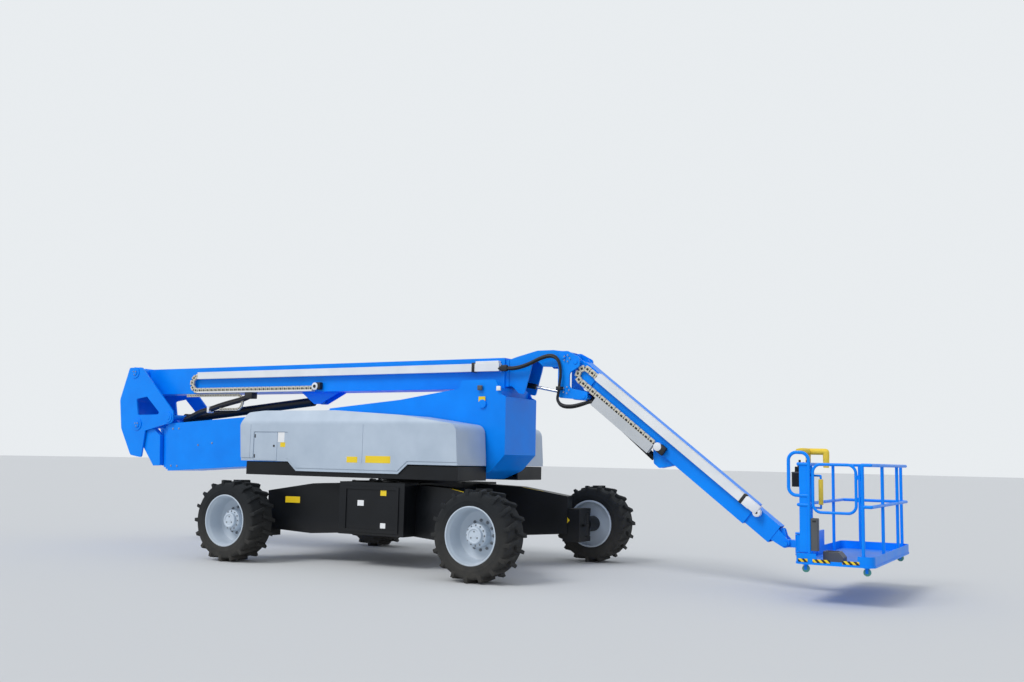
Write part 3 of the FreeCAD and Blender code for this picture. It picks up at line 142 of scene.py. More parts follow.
# Hard chrome on ground steel rods
hard_chrome = finish("hard_chrome", ("#c9ccd0", "#d6d9dc"), 0.14, metallic=1.0, grain_mm=0.6, bump_mm=0.01)
# White polyester coat on the cable troughs
trough_white = finish("trough_white", ("#dfe3e6", "#eceef0"), 0.4, grain_mm=2.0)
# Moulded nylon links, cream, dulled by grease
link_nylon = finish("link_nylon", ("#c4bfae", "#d2cdbd"), 0.55, grain_mm=1.0, blotch_m=0.05)
# Hose rubber: black, slightly shiny
hose_rubber = finish("hose_rubber", ("#131314", "#1c1c1e"), 0.5, grain_mm=0.8, blotch_m=0.08)
# Moulded ABS covers and boxes
grey_abs = finish("grey_abs", ("#4a4d51", "#55585c"), 0.5, grain_mm=0.8, bump_mm=0.1)
black_abs = finish("black_abs", ("#17181a", "#1f2022"), 0.5, grain_mm=0.8, bump_mm=0.1)
# Printed film for labels, yellow and white
warning_yellow = finish("warning_yellow", ("#ecc91a", "#f5d624"), 0.45, grain_mm=1.0)
white_film = finish("white_film", ("#e6e8ea", "#f2f3f4"), 0.4, grain_mm=1.0)
# The stop button's glossy red plastic
red_lens = finish("red_lens", ("#a8201e", "#bd2a26"), 0.2, grain_mm=1.0, coat=0.5)
# Zinc-plated bolts and pins
zinc_plate = finish("zinc_plate", ("#9da1a5", "#b2b6ba"), 0.35, metallic=1.0, grain_mm=0.5, blotch_m=0.03)
# Closed-cell foam sleeves round the controls' bar, faded yellow
yellow_foam = finish("yellow_foam", ("#e8c63c", "#f2d552"), 0.75, grain_mm=1.5, bump_mm=0.25, specular=0.3)
# Rim bolts: the rims' paint, a little duller and darkened all over as painted shade, with rust specks that
# thin out upwards
shaded_rusty_rim_bolt = finish("shaded_rusty_rim_bolt", ("#7d858c", "#8f989f"), 0.5, grain_mm=0.8, blotch_m=0.02, dirt="#6b5a4a",
                  dirt_height=1.2)
# The jib's tray: the troughs' white powder coat, darkened to light grey as painted shade
shaded_tray_white = finish("shaded_tray_white", ("#b9bec2", "#c6cacd"), 0.42, grain_mm=2.0)
# Polyurethane casters under the platform, pale green
caster_green = finish("caster_green", ("#4f9a8f", "#5fa99d"), 0.5, grain_mm=1.0)


def striped():
    """Printed film with slanting yellow and black stripes, 70 mm from one to the next."""
    stripe = 0.035
    material = finish("hazard_stripe", ("#ecc91a", "#f5d624"), 0.45, grain_mm=1.0)
    tree = material.node_tree
    shader = tree.nodes["Principled BSDF"]
    place = add_node(tree, "ShaderNodeTexCoord").outputs["Object"]
    parts = add_node(tree, "ShaderNodeSeparateXYZ", Vector=place).outputs
    slant = add_node(tree, "ShaderNodeMath", {"operation": "ADD"}, _0=parts["X"], _1=parts["Z"])
    wave = add_node(tree, "ShaderNodeMath", {"operation": "PINGPONG"}, _0=slant.outputs["Value"], _1=stripe)
    dark = add_node(tree, "ShaderNodeMath", {"operation": "GREATER_THAN"}, _0=wave.outputs["Value"],
                    _1=stripe / 2)
    mixed = add_node(tree, "ShaderNodeMix", {"data_type": "RGBA"}, _0=dark.outputs["Value"])
    tree.links.new(shader.inputs["Base Color"].links[0].from_socket, mixed.inputs[6])
    mixed.inputs[7].default_value = linear("#1b1b1c")
    tree.links.new(mixed.outputs[2], shader.inputs["Base Color"])
    return material


hazard_stripe = striped()


def treaded():
    """Blue painted tread plate: raised lozenges 28 mm apart."""
    material = finish("tread_plate", ("#0a6fd6", "#1580ea"), 0.5, grain_mm=2.0)
    tree = material.node_tree
    place = add_node(tree, "ShaderNodeTexCoord").outputs["Object"]
    turned = add_node(tree, "ShaderNodeMapping", Vector=place)
    turned.inputs["Rotation"].default_value = (0, 0, math.radians(45))
    lozenges = add_node(tree, "ShaderNodeTexVoronoi", {"feature": "F1"}, Vector=turned.outputs["Vector"],
                        Scale=36.0, Randomness=0.0)
    raised = add_node(tree, "ShaderNodeMapRange", Value=lozenges.outputs["Distance"], From_Min=0.2,
                      From_Max=0.32, To_Min=1.0, To_Max=0.0)
    bump = add_node(tree, "ShaderNodeBump", Strength=0.8, Distance=0.0015, Height=raised.outputs["Result"])
    tree.links.new(bump.outputs["Normal"], tree.nodes["Principled BSDF"].inputs["Normal"])
    return material


tread_plate = treaded()


def paint(thing, material):
    """Gives a piece one material in place of those it has."""
    thing.data.materials.clear()
    thing.data.materials.append(material)
    return thing


for name, thing in nodes.items():
    if name.startswith("tyre"):
        paint(thing, tyre_rubber)
    elif name.startswith("rim"):
        paint(thing, rim_grey)
    elif name.startswith("hood"):
        paint(thing, hood_gelcoat)
    elif name.endswith("_trough") or name == "primary_tray":
        paint(thing, trough_white)
    elif name == "jib_tray":
        # the troughs' white, darkened as painted shade
        paint(thing, shaded_tray_white)
    elif name.endswith("_chain"):
        paint(thing, link_nylon)
    elif name == "control_pad":
        paint(thing, yellow_foam)
    elif name in ("papers_case", "foot_switch"):
        paint(thing, grey_abs)
    elif name.endswith("_rod"):
        paint(thing, hard_chrome)
    elif name in ("chassis_frame", "turntable_deck", "engine", "control_console"):
        paint(thing, chassis_black)
    elif name.startswith("knuckle") or name.endswith("_barrel"):
        paint(thing, chassis_black)
    else:
        paint(thing, blue_enamel)


# Modelling by hand: small steps that the pieces below share

def start():
    """Leaves edit mode and selects nothing."""
    if bpy.context.object and bpy.context.object.mode != "OBJECT":
        bpy.ops.object.mode_set(mode="OBJECT")
    bpy.ops.object.select_all(action="DESELECT")


def done(name, material, body):
    """Names the piece just modelled, paints it and lets it ride on its body."""
    if bpy.context.object.mode != "OBJECT":
        bpy.ops.object.mode_set(mode="OBJECT")
    thing = bpy.context.object
    bpy.ops.object.transform_apply(location=True, rotation=True, scale=True)
    thing.name = name
    paint(thing, material)
    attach(thing, body)
    return thing


def bevelled(width, segments=2, angle=30):
    """Rounds the sharp edges of the active piece for good."""
    thing = bpy.context.object
    if thing.mode != "OBJECT":
        bpy.ops.object.mode_set(mode="OBJECT")
    bpy.ops.object.transform_apply(location=True, rotation=True, scale=True)
    rounding = thing.modifiers.new("round", "BEVEL")
    rounding.width = width
    rounding.segments = segments
    rounding.limit_method = "ANGLE"
    rounding.angle_limit = math.radians(angle)
    bpy.ops.object.modifier_apply(modifier="round")
    bpy.ops.object.shade_smooth_by_angle(angle=math.radians(35))
    return thing


def block(low, high):
    """A box between two corners, left active."""
    start()
    centre = [(a + b) / 2 for a, b in zip(low, high)]
    bpy.ops.mesh.primitive_cube_add(size=1, location=centre)
    bpy.context.object.scale = [abs(b - a) for a, b in zip(low, high)]
    bpy.ops.object.transform_apply(location=True, rotation=True, scale=True)
    return bpy.context.object


def round_bar(a, b, radius, sides=24):
    """A cylinder from point a to point b, left active."""
    start()
    a, b = Vector(a), Vector(b)
    middle = (a + b) / 2
    bpy.ops.mesh.primitive_cylinder_add(vertices=sides, radius=radius, depth=(b - a).length, location=middle)
    bpy.context.object.rotation_euler = (b - a).to_track_quat("Z", "Y").to_euler()
    bpy.ops.object.transform_apply(location=True, rotation=True, scale=True)
    return bpy.context.object


def drawn_line(points):
    """Edges drawn by extruding one vertex from point to point, left in edit mode."""
    start()
    points = [Vector(p) for p in points]
    bpy.ops.mesh.primitive_plane_add(size=0.01, location=points[0])
    bpy.ops.object.transform_apply(location=True, rotation=True, scale=True)
    bpy.ops.object.mode_set(mode="EDIT")
    bpy.ops.mesh.select_all(action="SELECT")
    bpy.ops.mesh.merge(type="CENTER")
    for a, b in zip(points, points[1:]):
        bpy.ops.mesh.extrude_region_move(TRANSFORM_OT_translate={"value": b - a})
    bpy.ops.mesh.select_all(action="SELECT")
    return bpy.context.object


def spun(points, centre=(0, 0, 0), axis=(0, 1, 0), steps=72):
    """A line turned all the way round an axis."""
    thing = drawn_line(points)
    bpy.ops.mesh.spin(steps=steps, angle=2 * math.pi, center=centre, axis=axis)
    bpy.ops.mesh.select_all(action="SELECT")
    bpy.ops.mesh.remove_doubles(threshold=1e-5)
    bpy.ops.mesh.normals_make_consistent(inside=False)
    bpy.ops.object.mode_set(mode="OBJECT")
    return thing


def cut_out(outline, depth):
    """A closed outline filled and extruded by the depth vector."""
    thing = drawn_line(outline)
    bpy.ops.mesh.edge_face_add()
    bpy.ops.mesh.extrude_region_move(TRANSFORM_OT_translate={"value": Vector(depth)})
    bpy.ops.mesh.select_all(action="SELECT")
    bpy.ops.mesh.normals_make_consistent(inside=False)
    bpy.ops.object.mode_set(mode="OBJECT")
    return thing


def smooth_line(name, points, fineness):
    """A curve object on one NURBS line with these control points; it has no thickness yet."""
    start()
    data = bpy.data.curves.new(name, "CURVE")
    data.dimensions = "3D"
    line = data.splines.new("NURBS")
    line.points.add(len(points) - 1)
    for point, place in zip(line.points, points):
        point.co = (*place, 1)
    line.order_u = 3
    line.use_endpoint_u = True
    line.resolution_u = fineness
    thing = bpy.data.objects.new(name, data)
    bpy.context.collection.objects.link(thing)
    return thing


def thickened(thing, radius, roundness):
    """Gives a curve object its thickness and closed ends."""
    thing.data.bevel_depth = radius
    thing.data.bevel_resolution = roundness
    thing.data.use_fill_caps = True
    return thing


def turned_to_mesh(thing):
    """A curve object as a mesh, left active."""
    bpy.context.view_layer.objects.active = thing
    thing.select_set(True)
    bpy.ops.object.convert(target="MESH")
    return bpy.context.object


def bent_pipe(points, radius):
    """A pipe along points, as a mesh, left active."""
    turned_to_mesh(thickened(smooth_line("pipe", points, 8), radius, 4))
    bpy.ops.object.shade_smooth_by_angle(angle=math.radians(40))
    return bpy.context.object


def welded(*pieces):
    """Joins pieces into the first one."""
    start()
    for piece in pieces:
        piece.select_set(True)
    bpy.context.view_layer.objects.active = pieces[0]
    bpy.ops.object.join()
    return bpy.context.object


def copied(piece, matrix):
    """A copy with its own mesh, moved by a matrix."""
    twin = bpy.data.objects.new(piece.name, piece.data.copy())
    bpy.context.collection.objects.link(twin)
    twin.data.transform(matrix)
    if matrix.determinant() < 0:
        twin.data.flip_normals()
    bpy.ops.object.select_all(action="DESELECT")
    bpy.context.view_layer.objects.active = twin
    twin.select_set(True)
    return twin


def dressed(name, width, material, soft):
    """A copy of a CAD node with its edges rounded, which stands for the node.

    Faces that meet at under soft degrees are shaded as one smooth face.
    """
    start()
    twin = nodes[name].copy()
    twin.data = nodes[name].data.copy()
    bpy.context.collection.objects.link(twin)
    twin.parent = None
    bpy.context.view_layer.objects.active = twin
    twin.select_set(True)
    bpy.ops.object.mode_set(mode="EDIT")
    bpy.ops.mesh.select_all(action="SELECT")
    bpy.ops.mesh.remove_doubles(threshold=1e-5)
    bpy.ops.mesh.dissolve_limited(angle_limit=math.radians(1))
    bpy.ops.object.mode_set(mode="OBJECT")
    bpy.ops.object.shade_smooth_by_angle(angle=math.radians(soft))
    rounding = twin.modifiers.new("round", "BEVEL")
    rounding.width = width
    rounding.segments = 2
    rounding.limit_method = "ANGLE"
    rounding.angle_limit = math.radians(25)
    rounding.use_clamp_overlap = True
    bpy.ops.object.modifier_apply(modifier="round")
    flat_faces = twin.modifiers.new("flat_faces", "WEIGHTED_NORMAL")
    flat_faces.mode = "FACE_AREA"
    flat_faces.weight = 100
    flat_faces.keep_sharp = True
    bpy.ops.object.modifier_apply(modifier="flat_faces")
    twin.name = name + "_skin"
    paint(twin, material)
    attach(twin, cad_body[name])
    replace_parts(twin, name)
    return twin


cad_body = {node: body for body, held in frame["record"]["behaviour"]["bodies"].items() for node in held}


# Wheels

# The slewing axis in X; from it, each wheel's middle ahead or behind, to its side, and up
SLEW_X = -0.25
AXLE_AHEAD = 2.055
WHEEL_OUT = 1.7475
WHEEL_UP = 0.5775
# Each corner's name, 1 ahead or -1 behind, and -1 on the near side or 1 on the far side
CORNERS = (("nose_near", 1, -1), ("nose_far", 1, 1), ("tail_near", -1, -1), ("tail_far", -1, 1))
LUGS_ROUND = 17


def wheel_place(fore, side):
    """Where a wheel modelled about the origin goes."""
    return Matrix.Translation((SLEW_X + AXLE_AHEAD * fore, WHEEL_OUT * side, WHEEL_UP))


def tyre_form():
    """The carcass turned from its section, with slanted lugs round each half."""
    # Half of the section, from the bead to the tread: radius and distance from the middle
    half = [(0.355, 0.190), (0.3605, 0.2035), (0.374, 0.2135), (0.405, 0.2195), (0.424, 0.2205),
            (0.427, 0.2222), (0.433, 0.2222), (0.437, 0.2212), (0.470, 0.2222), (0.498, 0.2195),
            (0.518, 0.2125), (0.531, 0.199), (0.5345, 0.180)]
    points = [(r, -y, 0) for r, y in half] + [(r, y, 0) for r, y in reversed(half)]
    carcass = spun(points + points[:1], steps=119)
    bpy.ops.object.shade_smooth_by_angle(angle=math.radians(38))
    # A lug: its root and top radius, its ends across the tyre, how far it slants, and half its thickness
    root, top = 0.488, 0.57416
    outer, inner = -0.2225, 0.015
    slant, thick = 0.0345, 0.0275
    lug = cut_out([(root, outer, -slant - thick), (root, outer, thick - slant), (root, inner, slant + thick),
                   (root, inner, slant - thick)], (top - root, 0, 0))
    top_share = 0.84
    top_outer = -0.2165
    for vertex in lug.data.vertices:
        place = vertex.co
        middle = -slant + (place.y - outer) / (inner - outer) * 2 * slant
        if place.x > (root + top) / 2:
            place.z = middle + (place.z - middle) * top_share
            if place.y < (outer + inner) / 2:
                place.y = top_outer
    bevelled(0.005)
    lugs = []
    step = math.radians(360 / LUGS_ROUND)
    for index in range(LUGS_ROUND):
        lugs.append(copied(lug, Matrix.Rotation(step * index, 4, "Y")))
        mirrored = Matrix.Rotation(step * (index + 0.5), 4, "Y") @ Matrix.Diagonal((1, -1, 1, 1))
        lugs.append(copied(lug, mirrored))
    bpy.data.objects.remove(lug)
    tyre = welded(carcass, *lugs)
    first_lug = math.radians(6.163)
    tyre.data.transform(Matrix.Rotation(first_lug, 4, "Y"))
    return tyre


def rim_form():
    """A near wheel's rim: rolled lip, deep dish, hub and stepped cap, turned from one section."""
    # Each point: radius, and place along the axle, outwards where it is below nought
    dish = [(0.355, 0.2075), (0.331, 0.2075), (0.331, 0.084), (0.150, 0.084), (0.150, 0.060), (0.215, 0.060),
            (0.268, 0.056), (0.300, 0.040), (0.317, 0.005), (0.325, -0.060), (0.330, -0.140), (0.333, -0.165),
            (0.341, -0.176), (0.345, -0.196), (0.350, -0.2115), (0.358, -0.2145), (0.366, -0.2125),
            (0.368, -0.206), (0.3548, -0.200), (0.355, 0.2075)]
    barrel = spun([(r, y, 0) for r, y in dish], steps=96)
    bpy.ops.object.shade_smooth_by_angle(angle=math.radians(30))
    hub = [(0.075, 0.084), (0.150, 0.084), (0.150, -0.050), (0.146, -0.062), (0.136, -0.070), (0.112, -0.074),
           (0.108, -0.079), (0.1065, -0.108), (0.103, -0.116), (0.096, -0.1195), (0.084, -0.120),
           (0.078, -0.1165), (0.074, -0.111), (0.030, -0.111), (0.026, -0.114), (0.001, -0.114)]
    middle = spun([(r, y, 0) for r, y in hub], steps=64)
    bpy.ops.object.shade_smooth_by_angle(angle=math.radians(30))
    return welded(barrel, middle)


def bolt_form(radius, height, head=6):
    """A hexagon head with its washer, standing out along -Y from the origin."""
    washer = round_bar((0, 0, 0), (0, -height * 0.22, 0), radius * 1.35, 20)
    nut = round_bar((0, -height * 0.2, 0), (0, -height * 0.75, 0), radius, head)
    bevelled(radius * 0.12, 1)
    stud = round_bar((0, -height * 0.7, 0), (0, -height, 0), radius * 0.5, 12)
    return welded(washer, nut, stud)


def ring_of(form, count, radius, depth, first=0.0):
    """Copies of a small piece in a ring about the Y axis."""
    copies = []
    out = Matrix.Translation((radius, depth, 0))
    for index in range(count):
        copies.append(copied(form, Matrix.Rotation(first + 2 * math.pi * index / count, 4, "Y") @ out))
    return copies


tyre_made, rim_made = tyre_form(), rim_form()
big_bolt, small_bolt = bolt_form(0.0145, 0.034), bolt_form(0.008, 0.012)
# Three rings: the wheel's bolts, the cap's bolts, and those of the hub's flange
bolts_made = welded(*ring_of(big_bolt, 12, 0.184, 0.060), *ring_of(small_bolt, 3, 0.052, -0.111, 0.5),
                    *ring_of(small_bolt, 12, 0.128, -0.0715))
for corner, fore, side in CORNERS:
    body = "wheel_" + corner
    copied(tyre_made, wheel_place(fore, side))
    tyre = done("tyre_" + corner + "_lugged", tyre_rubber, body)
    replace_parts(tyre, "tyre_" + corner)
    outwards = wheel_place(fore, side) @ Matrix.Diagonal((1, -side, 1, 1))
    copied(rim_made, outwards)
    rim = done("rim_" + corner + "_dished", rim_grey, body)
    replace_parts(rim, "rim_" + corner)
    copied(bolts_made, outwards)
    # The bolts' darker paint is painted shade.
    done("wheel_bolts_" + corner, shaded_rusty_rim_bolt, body)
for thing in (tyre_made, rim_made, big_bolt, small_bolt, bolts_made):
    bpy.data.objects.remove(thing)


# Link chains beside the booms

def chain(name, middle_y, runs, place, body, node_name=None, tall=0.082, wide=0.038, pitch=0.090):
    """Links threaded on a run, a half turn and a run back, with dark pins at their joints and a black block
    of painted shade in each link's window.

    runs holds the half turn's centre in X and Z and its radius, and where the upper and lower runs end.
    """
    centre_x, centre_z, radius, upper_end, lower_end = runs
    link = block((-pitch * 0.44, -wide / 2, -tall / 2), (pitch * 0.44, wide / 2, tall / 2))
    slot_cut = block((-pitch * 0.20, -wide, -tall * 0.19), (pitch * 0.20, wide, tall * 0.19))
    bevelled(tall * 0.08, 2)
    start()
    bpy.context.view_layer.objects.active = link
    link.select_set(True)
    hollow = link.modifiers.new("window", "BOOLEAN")
    hollow.object = slot_cut
    hollow.operation = "DIFFERENCE"
    bpy.ops.object.modifier_apply(modifier="window")
    bpy.data.objects.remove(slot_cut)
    start()
    bpy.context.view_layer.objects.active = link
    link.select_set(True)
    bevelled(tall * 0.06, 2)
    tie = block((-pitch * 0.54, -wide * 0.36, -tall * 0.30), (-pitch * 0.28, wide * 0.36, tall * 0.30))
    bevelled(tall * 0.05, 1)
    link = welded(link, tie)
    pin_end = wide / 2 + 0.0012
    pin = round_bar((-pitch / 2, -pin_end, 0), (-pitch / 2, pin_end, 0), tall * 0.13, 16)
    # A black block inside the link's window: painted shade for the chain's dark inside, joined to the pin.
    window_shade = block((-pitch * 0.19, -wide * 0.22, -tall * 0.17), (pitch * 0.19, wide * 0.22, tall * 0.17))
    pin = welded(pin, window_shade)
    spots, at = [], pitch * 0.5
    upper, half_turn = upper_end - centre_x, math.pi * radius
    whole = upper + half_turn + (lower_end - centre_x)
    while at < whole - pitch * 0.2:
        if at < upper:
            spots.append((upper_end - at, centre_z + radius, 0.0))
        elif at < upper + half_turn:
            angle = (at - upper) / radius
            spots.append((centre_x - radius * math.sin(angle), centre_z + radius * math.cos(angle), -angle))
        else:
            spots.append((centre_x + at - upper - half_turn, centre_z - radius, math.pi))
        at += pitch
    links, pins = [], []
    for x, z, angle in spots:
        spot = place @ Matrix.Translation((x, middle_y, z)) @ Matrix.Rotation(angle, 4, "Y")
        links.append(copied(link, spot))
        pins.append(copied(pin, spot))
    welded(*links)
    made = done(name + "_links", link_nylon, body)
    if node_name:
        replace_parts(made, node_name)
    welded(*pins)
    done(name + "_pins_and_window_shade", black_abs, body)
    for thing in (link, pin):
        bpy.data.objects.remove(thing)


# The jib's frame: along it and square to it, from its pivot
JIB = Matrix.Translation((2.38, 0, 2.88)) @ Matrix.Rotation(math.radians(38), 4, "Y")

chain("primary_chain", -0.264, (-4.74, 2.7018, 0.1205, -4.15, -2.225), Matrix(), "primary_outer",
      "primary_chain")
chain("jib_chain", -0.168, (0.20, -0.0787, 0.096, 0.868, 1.568), JIB, "jib_outer", "jib_chain")
turned_back = Matrix.Translation((-3.84, 0, 0)) @ Matrix.Rotation(math.pi, 4, "Z")
turned_back = turned_back @ Matrix.Diagonal((1, -1, 1, 1))
chain("elbow_chain", -0.235, (0.0, 2.378, 0.118, 1.16, 0.42), turned_back, "primary_outer", tall=0.046,
      wide=0.030, pitch=0.058)


# Troughs, end blocks and clamps beside the booms

def boxed(name, low, high, material, body, width=0.004, place=None):
    """A block with rounded edges, in the frame of a place."""
    thing = block(low, high)
    bevelled(width)
    if place:
        thing.data.transform(place)
    return done(name, material, body)


def label(low, high, material, body, name, place=None):
    """A bare printed plate, about two millimetres thick, with rounded edges."""
    thing = block(low, high)
    if place:
        thing.data.transform(place)
    bevelled(0.0006, 1)
    return done(name, material, body)


def capped(name, centre, ends, radius, sides, material, body, width=None, place=None):
    """A round piece along Y about a centre in X and Z, with rounded edges where width is given."""
    x, z = centre
    round_bar((x, ends[0], z), (x, ends[1], z), radius, sides)
    if width:
        bevelled(width)
    if place:
        bpy.context.object.data.transform(place)
    return done(name, material, body)


# Name, low corner, high corner, material, slot and rounding
PRIMARY_BLOCKS = (
    ("primary_trough_clamp", (0.745, -0.2955, 2.768), (0.795, -0.2045, 2.905), black_abs, "black_paint",
     0.004),
    ("primary_trough_cap", (0.805, -0.288, 2.852), (1.190, -0.213, 2.925), trough_white, "white_paint",
     0.008),
    ("primary_chain_end", (-2.150, -0.285, 2.560), (-2.055, -0.211, 2.675), black_abs, "black_paint", 0.010),
)
JIB_BLOCKS = (
    ("jib_trough_clamp", (2.905, -0.200, -0.038), (2.945, -0.110, 0.094), black_abs, "black_paint", 0.004),
    ("jib_trough_cap", (2.945, -0.197, -0.026), (3.165, -0.112, 0.088), trough_white, "white_paint", 0.010),
    ("jib_chain_end", (1.655, -0.186, -0.235), (1.755, -0.121, -0.115), black_abs, "black_paint", 0.010),
)
# Name, centre in X and Z, ends in Y, radius, sides, material, slot and rounding
PRIMARY_ROUNDS = (
    ("primary_chain_ring", (-2.158, 2.612), (-0.292, -0.246), 0.060, 32, trough_white, "white_paint", 0.006),
    ("primary_chain_ring_pin", (-2.158, 2.612), (-0.300, -0.290), 0.026, 24, black_abs, "black_paint", 0.002),
)
JIB_ROUNDS = (
    ("jib_trough_nose", (3.165, 0.004), (-0.190, -0.114), 0.052, 28, trough_white, "white_paint", 0.005),
    # A flat black disc on the nose's face: painted shade for its hole.
    ("jib_trough_hole", (3.165, 0.004), (-0.1925, -0.186), 0.016, 20, black_abs, "black_paint", None),
    ("jib_chain_ring", (1.640, -0.175), (-0.196, -0.150), 0.056, 32, trough_white, "white_paint", 0.006),
)
for body, place, blocks, rounds in (("primary_outer", None, PRIMARY_BLOCKS, PRIMARY_ROUNDS),
                                    ("jib_outer", JIB, JIB_BLOCKS, JIB_ROUNDS)):
    for name, low, high, material, slot, width in blocks:
        boxed(name, low, high, material, body, width, place)
    for name, centre, ends, radius, sides, material, slot, width in rounds:
        capped(name, centre, ends, radius, sides, material, body, width, place)


# Hoses

NECK_HOSE_RADIUS = 0.0135
ELBOW_HOSE_RADIUS = 0.021
DECK_HOSE_RADIUS = 0.0105


def hose(name, points, radius, body, onto=None):
    """A hydraulic hose on a smooth line; the length that its line measures is worked out and not used.

    Without onto the hose rides on body; with onto it is made a mesh fixed where it lies, and body and the two
    points in onto are not used.
    """
    thing = smooth_line(name, points, 8)
    bare = bpy.data.meshes.new_from_object(thing)
    ends = ([bare.vertices[index].co for index in edge.vertices] for edge in bare.edges)
    long = sum((b - a).length for a, b in ends)
    thickened(thing, radius, 4)
    if onto:
        thing = turned_to_mesh(thing)
        bpy.ops.object.shade_smooth_by_angle(angle=math.radians(50))
    paint(thing, hose_rubber)
    if onto:
        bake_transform(thing)
    else:
        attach(thing, body)
    return thing


# Over the neck's joint to a clamp on the link, and from there round the link's foot into the jib's tray
for index, (y, lift) in enumerate(((-0.262, 0.0), (-0.286, 0.012), (-0.262, 0.032))):
    hose(f"neck_hose_{index + 1}", [
        (1.19, y, 2.80 + lift), (1.30, y, 2.80 + lift), (1.46, y - 0.004, 2.79 + lift),
        (1.66, y - 0.004, 2.84 + lift), (1.86, y - 0.004, 2.93 + lift), (2.03, y - 0.006, 2.965 + lift),
        (2.145, y - 0.008, 2.90 + lift), (2.19, y - 0.010, 2.72 + lift), (2.165, y - 0.010, 2.56),
        (2.160, y - 0.010, 2.50),
    ], NECK_HOSE_RADIUS, "primary_tip", onto=("jib_link", (1.66, y, 2.90), (2.10, y, 2.86)))
    hose(f"link_hose_{index + 1}", [
        (2.160, y - 0.010, 2.52), (2.155, y - 0.010, 2.46), (2.13, y - 0.008, 2.36 - lift),
        (2.20, y - 0.004, 2.285 - lift), (2.34, y + 0.020, 2.275 - lift), (2.48, y + 0.070, 2.315 - lift),
        (2.60, -0.157, 2.350 - lift * 0.5), (2.70, -0.157, 2.310 - lift * 0.5),
    ], NECK_HOSE_RADIUS, "jib_link", onto=("jib_outer", (2.15, y, 2.44), (2.60, -0.157, 2.34)))
boxed("link_hose_clamp", (2.128, -0.318, 2.490), (2.200, -0.230, 2.540), black_abs, "jib_link",
      0.006)
boxed("neck_sleeve", (1.235, -0.305, 2.770), (1.335, -0.249, 2.860), black_abs, "primary_tip",
      0.012)
for index, (y, lift) in enumerate(((-0.215, 0.0), (-0.255, 0.014), (-0.180, 0.020), (-0.235, 0.048))):
    hose(f"elbow_hose_{index + 1}", [
        (-5.04, y + 0.02, 2.075 + lift), (-4.90, y, 2.105 + lift), (-4.68, y, 2.195 + lift),
        (-4.46, y, 2.235 + lift), (-4.22, y, 2.300 + lift), (-3.98, y, 2.350 + lift),
        (-3.80, y, 2.385 + lift), (-3.66, y, 2.42 + lift), (-3.56, y + 0.02, 2.468 + lift),
    ], ELBOW_HOSE_RADIUS, "elbow", onto=("primary_outer", (-4.43, y, 2.26), (-3.66, y, 2.42)))
boxed("elbow_hose_tie", (-4.485, -0.282, 2.200), (-4.430, -0.155, 2.312), white_film, "elbow",
      0.016)
boxed("elbow_hose_block", (-3.640, -0.285, 2.432), (-3.480, -0.150, 2.533), black_abs, "primary_outer",
      0.010)


# Hood and chassis dressing: hinges, latch and bare labels

for z in (1.500, 1.800):
    boxed(f"door_hinge_{int(z * 1000)}", (-2.472, -1.2455, z - 0.026), (-2.452, -1.238, z + 0.026), black_abs,
          "hood_near", 0.003)
capped("door_latch", (-2.085, 1.655), (-1.2455, -1.238), 0.017, 24, black_abs, "hood_near",
       0.002)

# Name, body, material, X and Z from the low to the high corner, and Y from the outer to the inner face
LABELS = (
    ("hood_label_white", "hood_near", white_film, (-2.018, -1.893), (1.712, 1.858), (-1.2345, -1.2325)),
    ("hood_label_small", "hood_near", warning_yellow, (-1.968, -1.872), (1.640, 1.708), (-1.2347, -1.2325)),
    ("hood_label_middle", "hood_near", warning_yellow, (-0.712, -0.522), (1.436, 1.520), (-1.2465, -1.2445)),
    ("hood_label_long", "hood_near", warning_yellow, (-0.381, 0.049), (1.438, 1.536), (-1.2465, -1.2445)),
    ("panel_label_top", "chassis", warning_yellow, (-0.094, 0.006), (0.990, 1.064), (-1.2515, -1.2495)),
    ("panel_label_low", "chassis", white_film, (-0.082, 0.006), (0.545, 0.615), (-1.2515, -1.2495)),
    ("panel_label_side", "chassis", white_film, (-0.485, -0.376), (0.840, 0.917), (-1.2515, -1.2495)),
)
for name, body, material, along, up, across in LABELS:
    label((along[0], across[0], up[0]), (along[1], across[1], up[1]), material, body, name)


# Hoses that lie on the chassis, their ends going down into its top plate

LYING = 1.1805
IN_THE_PLATE = 1.160
for index, (x, y) in enumerate(((-0.60, -1.16), (-0.36, -1.12), (-0.10, -1.15), (0.13, -1.12))):
    hose(f"deck_hose_{index + 1}", [
        (x - 0.16, y + 0.24, IN_THE_PLATE), (x - 0.15, y + 0.20, LYING), (x - 0.12, y + 0.08, LYING),
        (x - 0.05, y, LYING), (x + 0.02, y - 0.02, LYING), (x + 0.09, y + 0.01, LYING),
        (x + 0.15, y + 0.10, LYING), (x + 0.17, y + 0.20, LYING), (x + 0.18, y + 0.24, IN_THE_PLATE),
    ], DECK_HOSE_RADIUS, "chassis")


# Platform dressing

def pad_form():
    """A foam sleeve over the bar: crowned, with pulled-in ends, on the bar's own line."""
    points = [(5.586, -0.941, 1.690), (5.586, -0.80, 1.695), (5.586, -0.62, 1.695), (5.586, -0.468, 1.695),
              (5.592, -0.466, 1.695), (5.69, -0.466, 1.695), (5.792, -0.466, 1.695), (5.796, -0.466, 1.689),
              (5.796, -0.466, 1.60), (5.796, -0.466, 1.507)]
    thing = thickened(smooth_line("pad_line", points, 10), 0.0375, 6)
    ends = thing.data.splines[0].points
    ends[0].radius = ends[-1].radius = 0.86
    thing = turned_to_mesh(thing)
    leg = round_bar((5.586, -0.466, 1.506), (5.586, -0.466, 1.69), 0.030, 24)
    bevelled(0.006)
    welded(thing, leg)
    return done("control_pad_foam", yellow_foam, "platform")


pad = pad_form()
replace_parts(pad, "control_pad")

for index, (x0, x1) in enumerate(((5.640, 5.745), (5.800, 5.992), (6.120, 6.300))):
    boxed(f"toe_stripe_{index + 1}", (x0, -1.2215, 0.466), (x1, -1.2185, 0.502), hazard_stripe, "platform",
          0.0008)


